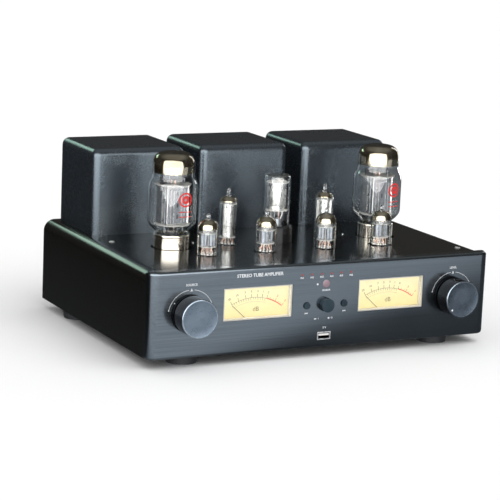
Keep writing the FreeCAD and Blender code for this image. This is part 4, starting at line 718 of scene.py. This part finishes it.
def rectifier_tube():
    """Straight glass on a black base, with one long bright anode on its stem."""
    place = standing("rectifier_glass", 15)
    outside = rounded_profile([(13.8, 14.7, 0), (13.9, 18.0, 0), (13.9, 71.6, 4.0), (5.0, 72.0, 2.0), (0, 71.6, 0)], 8)
    inside = inset(outside, GLASS_WALL)
    envelope("rectifier_envelope", "rectifier_glass", outside, inside, place)
    form = Form()
    anode = rounded_profile([(9.0, 34.5, 0), (9.4, 34.5, 0), (9.4, 38.0, 0.4), (9.1, 38.5, 0.3), (9.1, 39.0, 0.3),
                             (9.4, 39.5, 0.4), (9.4, 58.0, 0.4), (9.1, 58.5, 0.3), (9.1, 59.0, 0.3), (9.4, 59.5, 0.4),
                             (9.4, 63.0, 0), (9.0, 63.0, 0)], 3)
    form.lathe(anode, place, BRIGHT_KIND, 72, closed=True)
    micas(form, 12.2, (33.6, 63.2), place, 10, thick=0.7)
    for way in (-1, 1):
        form.ribbon([(-4, way * 9.3), (-4, way * 11.2)], 0.5, 35, 62.5, place, BRIGHT_KIND)
    for x, y, kind in ((-8, 0, BRIGHT_KIND), (8, 0, BRIGHT_KIND), (0, -3, COPPER_KIND), (0, 3, GREY_KIND),
                       (3.4, 0, GREY_KIND)):
        form.wire([(x * 0.5, y * 0.6, 17), (x * 0.6, y, 22), (x, y, 28), (x, y, 66)], 0.55, place, kind)
    form.lathe([(0, 14.8), (8.0, 14.8), (5.0, 18.0), (4.2, 24.5), (0, 25.5)], place, GREY_KIND, 48)
    halo(form, 4.5, 67.3, 63.5, place, BRIGHT_KIND)
    form.piece("rectifier_inside", ELECTRODE_FINISHES, stands_for=("rectifier_electrodes",), slot="electrode_metal")


def miniature_envelope(name, node, radius, dome, tip, place):
    """All-glass tube: thick pressed foot, domed top and the drawn-off tip."""
    foot = -2.4
    outside = rounded_profile([(0.4, foot, 0), (radius, foot, 1.6), (radius, dome, radius * 0.86),
                               (2.6, dome + 0.5, 1.2), (1.5, dome + tip * 0.3, 0.8), (2.0, dome + tip * 0.62, 0.8),
                               (0.7, dome + tip * 0.92, 0.5), (0, dome + tip, 0)], 8)
    inside = rounded_profile([(0.4, 0.6, 0), (radius - 1, 0.6, 1.0), (radius - 1, dome - 1, radius * 0.78),
                              (0, dome - 0.8, 0)], 8)
    envelope(name, node, outside, inside, place)
    return outside


def miniature_pins(form, place, top):
    """Nine pins under the foot, and the leads that rise from them to the lower spacer."""
    for step in range(9):
        angle = math.radians(36 * (step + 0.5))
        x, y = 5.9 * math.cos(angle), 5.9 * math.sin(angle)
        at = moved(place, x, y)
        form.lathe([(0, -9.4), (0.3, -9.2), (0.5, -8.6), (0.5, -2.0), (0, -2.0)], at, BRIGHT_KIND, 12)
        form.lathe([(0, 0.4), (1.0, 0.4), (0.9, 1.3), (0.5, 1.8), (0, 1.8)], at, BRIGHT_KIND, 12)
        bend = 0.72 + 0.25 * ((step * 4) % 3 - 1)
        form.wire([(x, y, 1.2), (x * 1.02, y * 1.02, 3.4), (x * bend, y * bend, 5.8), (x * bend, y * bend, top)], 0.42,
                  place, COPPER_KIND)


def small_tube(number):
    """Double triode: two ribbed anodes side by side between mica spacers."""
    node = f"small_tube_{number}_glass"
    place = standing(node, (-18, 24, -32, 12)[number - 1])
    outside = miniature_envelope(f"small_tube_{number}_envelope", node, 10.8, 36.2, 6.8, place)
    getter_film(f"small_tube_{number}_getter", outside, 26.2, 36.4, place, SMALL_GETTER)
    form = Form()
    low, high = 9.3, 22.5
    micas(form, 9.4, (low - 0.6, high), place, 8, 0.9)
    for way in (-1, 1):
        x = way * 4.3
        for front in (-1, 1):
            shell = [(x - 3.7, front * 0.4), (x - 3.7, front * 1.6), (x - 2.4, front * 3.6), (x - 0.7, front * 3.9),
                     (x, front * 4.5), (x + 0.7, front * 3.9), (x + 2.4, front * 3.6), (x + 3.7, front * 1.6),
                     (x + 3.7, front * 0.4)]
            form.ribbon(shell, 0.35, low + 0.5, high - 0.4, place, GREY_KIND)
            form.wire([(x, front * 2.0, low - 3), (x, front * 2.0, high + 2.2)], 0.4, place, BRIGHT_KIND)
        form.wire([(x, 0, low - 3.5), (x, 0, high + 1.4)], 0.8, place, BRIGHT_KIND)
    form.ribbon([(0, -5.5), (0, 5.5)], 0.3, low + 1, high - 1, place, BRIGHT_KIND)
    halo(form, 3.6, 31.0, high, place, BRIGHT_KIND)
    miniature_pins(form, place, low - 0.4)
    form.piece(f"small_tube_{number}_inside", ELECTRODE_FINISHES, stands_for=("small_tube_electrodes",),
               slot="electrode_metal")


def tall_tube(side):
    """Tall miniature tube with one long bright can."""
    node = f"tall_tube_{side}_glass"
    place = standing(node, 30 if side == "left" else -20)
    outside = miniature_envelope(f"tall_tube_{side}_envelope", node, 10.0, 50.4, 9.4, place)
    getter_film(f"tall_tube_{side}_getter", outside, 44.5, 50.6, place, TALL_GETTER)
    form = Form()
    micas(form, 8.7, (7.4, 42.6), place, 8, 0.9)
    can = rounded_profile([(5.5, 8.2, 0), (5.9, 8.2, 0), (5.9, 12.0, 0.3), (5.7, 12.4, 0.3), (5.9, 12.8, 0.3),
                           (5.9, 38.0, 0.3), (5.7, 38.4, 0.3), (5.9, 38.8, 0.3), (5.9, 42.4, 0), (5.5, 42.4, 0)], 3)
    form.lathe(can, place, BRIGHT_KIND, 64, closed=True)
    for way in (-1, 1):
        form.ribbon([(way * 5.7, 0), (way * 8.0, 0)], 0.5, 9, 41.5, place, BRIGHT_KIND)
        form.wire([(way * 3.0, 0, 5), (way * 3.0, 0, 46)], 0.5, place, BRIGHT_KIND)
    halo(form, 3.4, 46.6, 43.0, place, BRIGHT_KIND)
    miniature_pins(form, place, 7.6)
    form.piece(f"tall_tube_{side}_inside", ELECTRODE_FINISHES, stands_for=("small_tube_electrodes",),
               slot="electrode_metal")


# ---------------------------------------------------------------- knobs
def knob(name):
    """Satin face with a polished edge on a glossy black side, built in the box of its node."""
    low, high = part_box(f"{name}_knob")
    at = (low + high) / 2
    radius, length = (high.x - low.x) / 2 / MM, (high.y - low.y) / MM
    place = facing_front(at.x, high.y, at.z)
    side, face, edge = range(3)
    form = Form()
    skirt = rounded_profile([(3.02, 0, 0), (radius - 1.2, 0, 0.3), (radius - 1.2, 2.0, 0.2), (radius, 2.6, 0.4),
                             (radius, length - 1.0, 0)], 4)
    form.lathe(skirt, place, side, 144)
    rim = rounded_profile([(radius, length - 1.0, 0), (radius, length, 1.0), (radius - 1.4, length, 0)], 8)
    form.lathe(rim, place, edge, 144)
    sunk = length - 0.08
    form.lathe([(radius - 1.4, length), (radius - 1.7, sunk), (radius * 0.5, sunk), (0, sunk)], place, face, 144)
    form.lathe([(3.02, 0), (3.02, 15.0), (0, 15.0)], place, side, 48)
    return form, place, length


def knobs():
    """The input selector's knob, and the volume knob with a white dot at its edge."""
    finishes = [KNOB_SIDE, SLOT_FINISH["knob_anodised"], KNOB_EDGE, WHITE_INK]
    for name in ("selector", "volume"):
        form, place, length = knob(name)
        if name == "volume":
            dot = moved(place, -12.1, -10.8, length - 0.1)
            form.lathe([(0, 0), (1.1, 0), (1.0, 0.08), (0, 0.1)], dot, 3, 24)
        form.piece(f"{name}_knob_turned", finishes, name, (f"{name}_knob",), "knob_anodised", sharp=50)


def usb_port():
    """Bright drawn shell with a rolled mouth and a white tongue; its inside is lined with painted shade, dark walls
    and a dark back.
    """
    low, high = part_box("usb_socket")
    width, depth, height = (high - low) / MM
    place = facing_front((low.x + high.x) / 2, low.y, (low.z + high.z) / 2)
    half, tall, wall = width / 2, height / 2, 1.1
    across, up = [-half, wall - half, half - wall, half], [-tall, wall - tall, tall - wall, tall]
    shell, inside, white = range(3)
    form = Form()
    form.perforated(across, up, [(1, 1)], -depth, 0, place, shell)
    # The dark lining inside the shell's walls and the dark back wall are painted shade in the port's mouth.
    hollow = [across[1], across[1] + 0.12, across[2] - 0.12, across[2]]
    well = [up[1], up[1] + 0.12, up[2] - 0.12, up[2]]
    form.perforated(hollow, well, [(1, 1)], -depth + 1, -0.5, place, inside)
    form.prism(box_outline(across[1], across[2], up[1], up[2]), -depth + 1, -depth + 1.6, place, inside)
    form.prism(box_outline(across[1] + 0.6, across[2] - 0.6, 0.2, 2.1), -depth + 1.5, -0.1, place, white)
    for x in (-3.9, -1.3, 1.3, 3.9):
        form.prism(box_outline(x - 0.5, x + 0.5, 0.05, 0.2), -depth + 1.8, -1.0, place, shell)
    form.piece("usb_port", [SLOT_FINISH["socket_steel"], KNOB_SIDE, WHITE_PLASTIC], stands_for=("usb_socket",),
               slot="socket_steel", sharp=40)


# ---------------------------------------------------------------- prints
def panel_print():
    """White print on the front panel: control scales, numbers and plain signs."""
    form = Form()
    knob_z = (middle("selector_knob").z - PANEL_FOOT) / MM
    scale = 24.5

    def at(x, z):
        return facing_front(x * MM, PANEL_FACE - PAINT_PROUD / 2, PANEL_FOOT + z * MM)

    def mark(outline, x, z):
        form.prism(outline, 0, PAINT_PROUD / MM, at(x, z))

    def dot(size, x, reach, angle):
        """A dot beside a knob, at a distance and an angle from its middle."""
        mark(arc(size, 0, 330, 11), x + reach * math.cos(math.radians(angle)),
             knob_z + reach * math.sin(math.radians(angle)))

    for node, title in (("selector_knob", "SOURCE"), ("volume_knob", "LEVEL")):
        x = middle(node).x / MM
        for start, end in ((168, 97), (83, 15)):
            form.ribbon(arc(scale, start, end, 36), 0.45, 0, 0.03, at(x, knob_z))
        mark([(-1.3, -1.3), (1.3, -1.3), (0, 1.7)], x, knob_z + 24.4)
        for angle in (168, 15):
            dot(0.75, x, scale, angle)
        form.lettering(title, 2.3, at(x, knob_z + 29.4))
    dot(0.6, middle("selector_knob").x / MM, 21.6, 146)
    form.lettering("STEREO TUBE AMPLIFIER", 3.3, at(-75.5, 79.5))
    lamp_z = 74.0
    for number, x in enumerate(lamp_places(), start=1):
        form.lettering(f"IN{number}", 1.8, at(x, lamp_z - 0.6))
    form.lettering("SENSOR", 1.8, at(0, 59.4))
    for way in (-1, 1):
        x = middle("button_right").x / MM * way
        for step in (0, 1.5):
            tip = way * (0.2 + step)
            mark([(tip, 0), (tip - way * 1.5, 0.9), (tip - way * 1.5, -0.9)][::way], x, 36.6)
        mark(box_outline(way * 1.8 - 0.2, way * 1.8 + 0.2, -0.9, 0.9), x, 36.6)
    mark(box_outline(-1.3, 1.3, -0.55, 0.55), -11.2, 30.2)
    form.lettering("I", 1.7, at(-7.6, 30.2))
    mark(box_outline(-0.9, 0.9, -0.9, 0.9), 4.4, 30.2)
    form.lettering("O", 1.7, at(8.0, 30.2))
    form.lettering("5 V", 2.0, at(0, 20.4))
    form.piece("panel_print", [WHITE_INK], slot="panel_anodised", sharp=60)


def lamp_places():
    """The six lamps of the upper row, in millimetres from the middle, evenly spread over their node's box."""
    low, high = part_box("indicator_lamps")
    reach = (high.x - low.x) / MM / 2 - 1
    return [-reach + 2 * reach * step / 5 for step in range(6)]


def rear_print():
    """White print beside the connectors of the rear panel, and coloured rings round the phono jacks."""
    ink, white, red = range(3)
    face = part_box("rear_panel")[1].y
    places = {port["name"]: Vector(port["pos_m"]) for port in frame["record"]["mounts"]}
    form = Form()

    def at(x, z):
        return facing_rear(x, face + PAINT_PROUD / 2, z)

    for number in range(1, 9):
        jack = places[f"phono_jack_{number}"]
        upper = number > 4
        form.lathe([(6.3, 0), (7.7, 0), (7.7, 0.4), (7.4, 0.7), (6.3, 0.7)], at(jack.x, jack.z),
                   white if upper else red, 48, closed=True)
        if upper:
            form.lettering(str(number - 4), 2.6, at(jack.x + 12.0 * MM, jack.z - 9.5 * MM), ink)
    for number in range(1, 5):
        post = places[f"speaker_terminal_{number}"]
        form.lettering("-" if number in BLACK_CAPS else "+", 4.0, at(post.x, post.z + 13 * MM), ink)
    for first in (1, 3):
        pair = (places[f"speaker_terminal_{first}"] + places[f"speaker_terminal_{first + 1}"]) / 2
        form.lettering("SPEAKER", 3.0, at(pair.x, pair.z - 15 * MM), ink)
    inlet = middle("mains_inlet")
    form.lettering("MAINS", 3.0, at(inlet.x + 27 * MM, inlet.z), ink)
    form.lettering("LINE IN", 3.0, at(0, places["phono_jack_5"].z + 10.3 * MM), ink)
    form.piece("rear_print", [WHITE_INK, WHITE_PLASTIC, RED_PLASTIC], slot="rear_coated", sharp=50)


def dial_print(side):
    """Scale of a level meter: ticks and numbers on a shallow arc, red above zero."""
    pivot = JOINTS[f"{side}_needle_swing"]["pos_m"]
    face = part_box("meter_dials")[0].y
    place = facing_front(pivot[0], face - 0.02 * MM, PANEL_FOOT)
    ink, red = range(2)
    form = Form()
    centre_z, radius, thick = 2.5, 52.0, 0.04

    def spot(angle, reach):
        return (reach * math.sin(math.radians(angle)), centre_z + reach * math.cos(math.radians(angle)))

    def tick(angle, inner, outer, width, kind):
        form.ribbon([spot(angle, inner), spot(angle, outer)], width, 0, thick, place, kind)

    curve = [spot(angle, radius) for angle in range(-28, 17)]
    form.ribbon(curve, 0.35, 0, thick, place, ink)
    form.ribbon([spot(angle, radius + 0.2) for angle in range(16, 38)], 1.0, 0, thick, place, red)
    numbers = {-28: "20", -19: "10", -10: "7", -3: "5", 4: "3", 10: "1", 16: "0", 27: "2", 37: "3"}
    for angle, number in numbers.items():
        kind = red if angle > 16 else ink
        tick(angle, radius, radius + 3.6, 0.45, kind)
        x, z = spot(angle, radius + 6.2)
        form.lettering(number, 2.2, moved(place, x, z, thick / 2, -angle), kind, thick, 0.01)
    for angle in range(-28, 16, 3):
        tick(angle, radius - 2.6, radius, 0.3, ink)
    for angle in (20, 24, 31, 34):
        tick(angle, radius, radius + 2.2, 0.3, red)
    form.ribbon([spot(angle, radius - 4.2) for angle in range(-28, 17)], 0.15, 0, thick, place, ink)
    form.lettering("dB", 4.6, moved(place, 2.5, 42.3, thick / 2), ink, thick, 0.0)
    form.piece(f"dial_print_{side}", [DIAL_INK, DIAL_RED], slot="dial_paper", sharp=60)


# ---------------------------------------------------------------- stage
def table_piece(name, form, finish):
    """A stage object of one finish that casts no shadow itself."""
    mesh = bpy.data.meshes.new(name)
    mesh.from_pydata(form.points, [], form.faces)
    mesh.materials.append(finish.material)
    made = new_object(name, mesh)
    made.visible_shadow = False
    return made


def white_floor():
    """Pale floor to the horizon, not seen in mirrors and glass."""
    form = Form()
    size = 14000.0
    place = Matrix.Translation((0, 0, CAD_BOX[0].z))
    form.perforated([-size, -size / 4, size / 4, size], [-size, -size / 4, size / 4, size], [], -20, 0, place)
    made = Finish("floor_white", Roughness=0.9, Specular_IOR_Level=0.0)
    tone = made.noise(3.0, 2.0)
    made.feed(Base_Color=made.colours(tone, (0.90, 0.90, 0.90), (0.92, 0.92, 0.92)))
    floor = table_piece("floor", form, made)
    floor.visible_glossy = False
    floor.visible_transmission = False


def softbox(name, azimuth, elevation, distance, width, height, power, colour=(1, 1, 1), aim=(0, 0, 0.08)):
    """A rectangular light on the side of the object that azimuth and elevation say, facing it."""
    lamp = bpy.data.lights.new(name, "AREA")
    lamp.shape, lamp.size, lamp.size_y = "RECTANGLE", width, height
    lamp.energy, lamp.color = power, colour
    a, e = math.radians(azimuth), math.radians(elevation)
    back = Vector((math.sin(a) * math.cos(e), -math.cos(a) * math.cos(e), math.sin(e)))
    holder = new_object(name, lamp)
    holder.location = Vector(aim) + back * distance
    holder.rotation_mode = "QUATERNION"
    holder.rotation_quaternion = back.to_track_quat("Z", "Y")
    holder.visible_camera = False
    return holder


def room():
    """White for the camera and matt surfaces; mirrors and glass see a dark studio with a grey ceiling."""
    world = bpy.data.worlds.new("studio")
    bpy.context.scene.world = world
    world.use_nodes = True
    graph = Graph(world.node_tree)
    path = graph.nodes.new("ShaderNodeLightPath").outputs
    white, dark = graph.nodes["Background"], graph.nodes.new("ShaderNodeBackground")
    white.inputs["Color"].default_value = (1, 1, 1, 1)
    strength = graph.add("MapRange", "Result", {"Value": path["Is Camera Ray"]}, To_Min=0.80, To_Max=1.02)
    graph.link(strength, white.inputs["Strength"])

    direction = graph.add("TexCoord", "Generated")
    height = graph.nodes.new("ShaderNodeValToRGB")
    graph.link(graph.add("SeparateXYZ", "Z", {"Vector": direction}), height.inputs["Fac"])
    level, zenith = height.color_ramp.elements
    level.position, level.color = 0.0, (0.045, 0.042, 0.038, 1)
    zenith.position, zenith.color = 0.9, (0.42, 0.43, 0.42, 1)
    height.color_ramp.elements.new(0.6).color = (0.09, 0.09, 0.085, 1)
    graph.link(height.outputs["Color"], dark.inputs["Color"])

    mirrored = graph.sum(path["Is Glossy Ray"], path["Is Transmission Ray"], "MAXIMUM")
    graph.mix_shaders(mirrored, white, dark, "World Output")


def lit_table():
    """What mirrors see of the table: bright in front of the amplifier, dark at its right and behind it."""
    size = 1800.0
    form = Form()
    form.perforated([-size, 0, size], [-size, 0, size], [], 0.1, 0.3, Matrix.Translation((0, 0, CAD_BOX[0].z)))
    made = Finish("table_glow", Base_Color=(0, 0, 0, 1), Specular_IOR_Level=0.0, Emission_Strength=1.0)
    x, y = made.axis("X"), made.axis("Y")

    def side_of(start, normal, blur):
        """One beyond a line through start towards normal, zero before it."""
        ahead = made.sum(made.sum(made.sum(x, -start[0] * MM), normal[0], "MULTIPLY"),
                         made.sum(made.sum(y, -start[1] * MM), normal[1], "MULTIPLY"))
        return made.span(ahead, -blur * MM, blur * MM, 0.0, 1.0, smooth=True)

    right_edge = side_of((26, -247), (-0.490, -0.870), 42)
    left_edge = side_of((-190, -143), (0.174, -0.985), 60)
    glow = made.sum(right_edge, left_edge, "MULTIPLY")
    dark = made.colours(made.span(x, -0.4, 0.1, 0.0, 1.0), (0.018, 0.016, 0.013), (0.13, 0.14, 0.15))
    made.feed(Emission_Color=made.colours(glow, dark, (1.1, 1.15, 1.2)))
    table = table_piece("lit_table", form, made)
    table.visible_camera = False
    table.visible_diffuse = False


def studio():
    """Soft shadowless white from all round, a broad sun for shadows, and lights that only mirrors see."""
    room()
    sun = bpy.data.lights.new("daylight", "SUN")
    sun.energy, sun.angle = 1.25, math.radians(60)
    holder = new_object("daylight", sun)
    holder.rotation_euler = (math.radians(28), math.radians(22), 0)
    holder.visible_glossy = False
    holder.visible_transmission = False
    for name, azimuth, elevation, distance, width, height, radiance, colour, aim in (
            ("window_front", -31, 0, 0.85, 2.3, 0.95, 4.8, (1.0, 1.0, 1.0), (0, -0.03, 0.476)),
            ("window_left", -161, 24, 1.3, 0.55, 0.16, 4.5, (0.58, 0.86, 0.70), (0, 0, 0.12)),
            ("window_right", 120, 0, 1.3, 0.25, 1.2, 3.0, (1.0, 1.0, 1.0), (0, 0, 0.35))):
        power = radiance * math.pi * width * height
        lamp = softbox(name, azimuth, elevation, distance, width, height, power, colour, aim)
        lamp.visible_diffuse = False
    bpy.context.scene.view_settings.view_transform = "Standard"


def camera():
    """The photo's point of view, tilted slightly as the photo is."""
    lens = bpy.data.cameras.new("camera")
    lens.lens, lens.sensor_width = 145.9, 36
    holder = new_object("camera", lens)
    holder.location = (-0.9842, -1.8855, 0.5138)
    turns = [Matrix.Rotation(math.radians(angle), 4, axis)
             for angle, axis in ((-27.206, "Z"), (90 - 11.491, "X"), (2.449, "Z"))]
    holder.rotation_mode = "QUATERNION"
    holder.rotation_quaternion = (turns[0] @ turns[1] @ turns[2]).to_quaternion()
    bpy.context.scene.camera = holder


dress_cad_nodes()
power_tubes()
rectifier_tube()
for number in range(1, 5):
    small_tube(number)
for side in ("left", "right"):
    tall_tube(side)
    dial_print(side)
knobs()
usb_port()
panel_print()
rear_print()
white_floor()
lit_table()
studio()
camera()
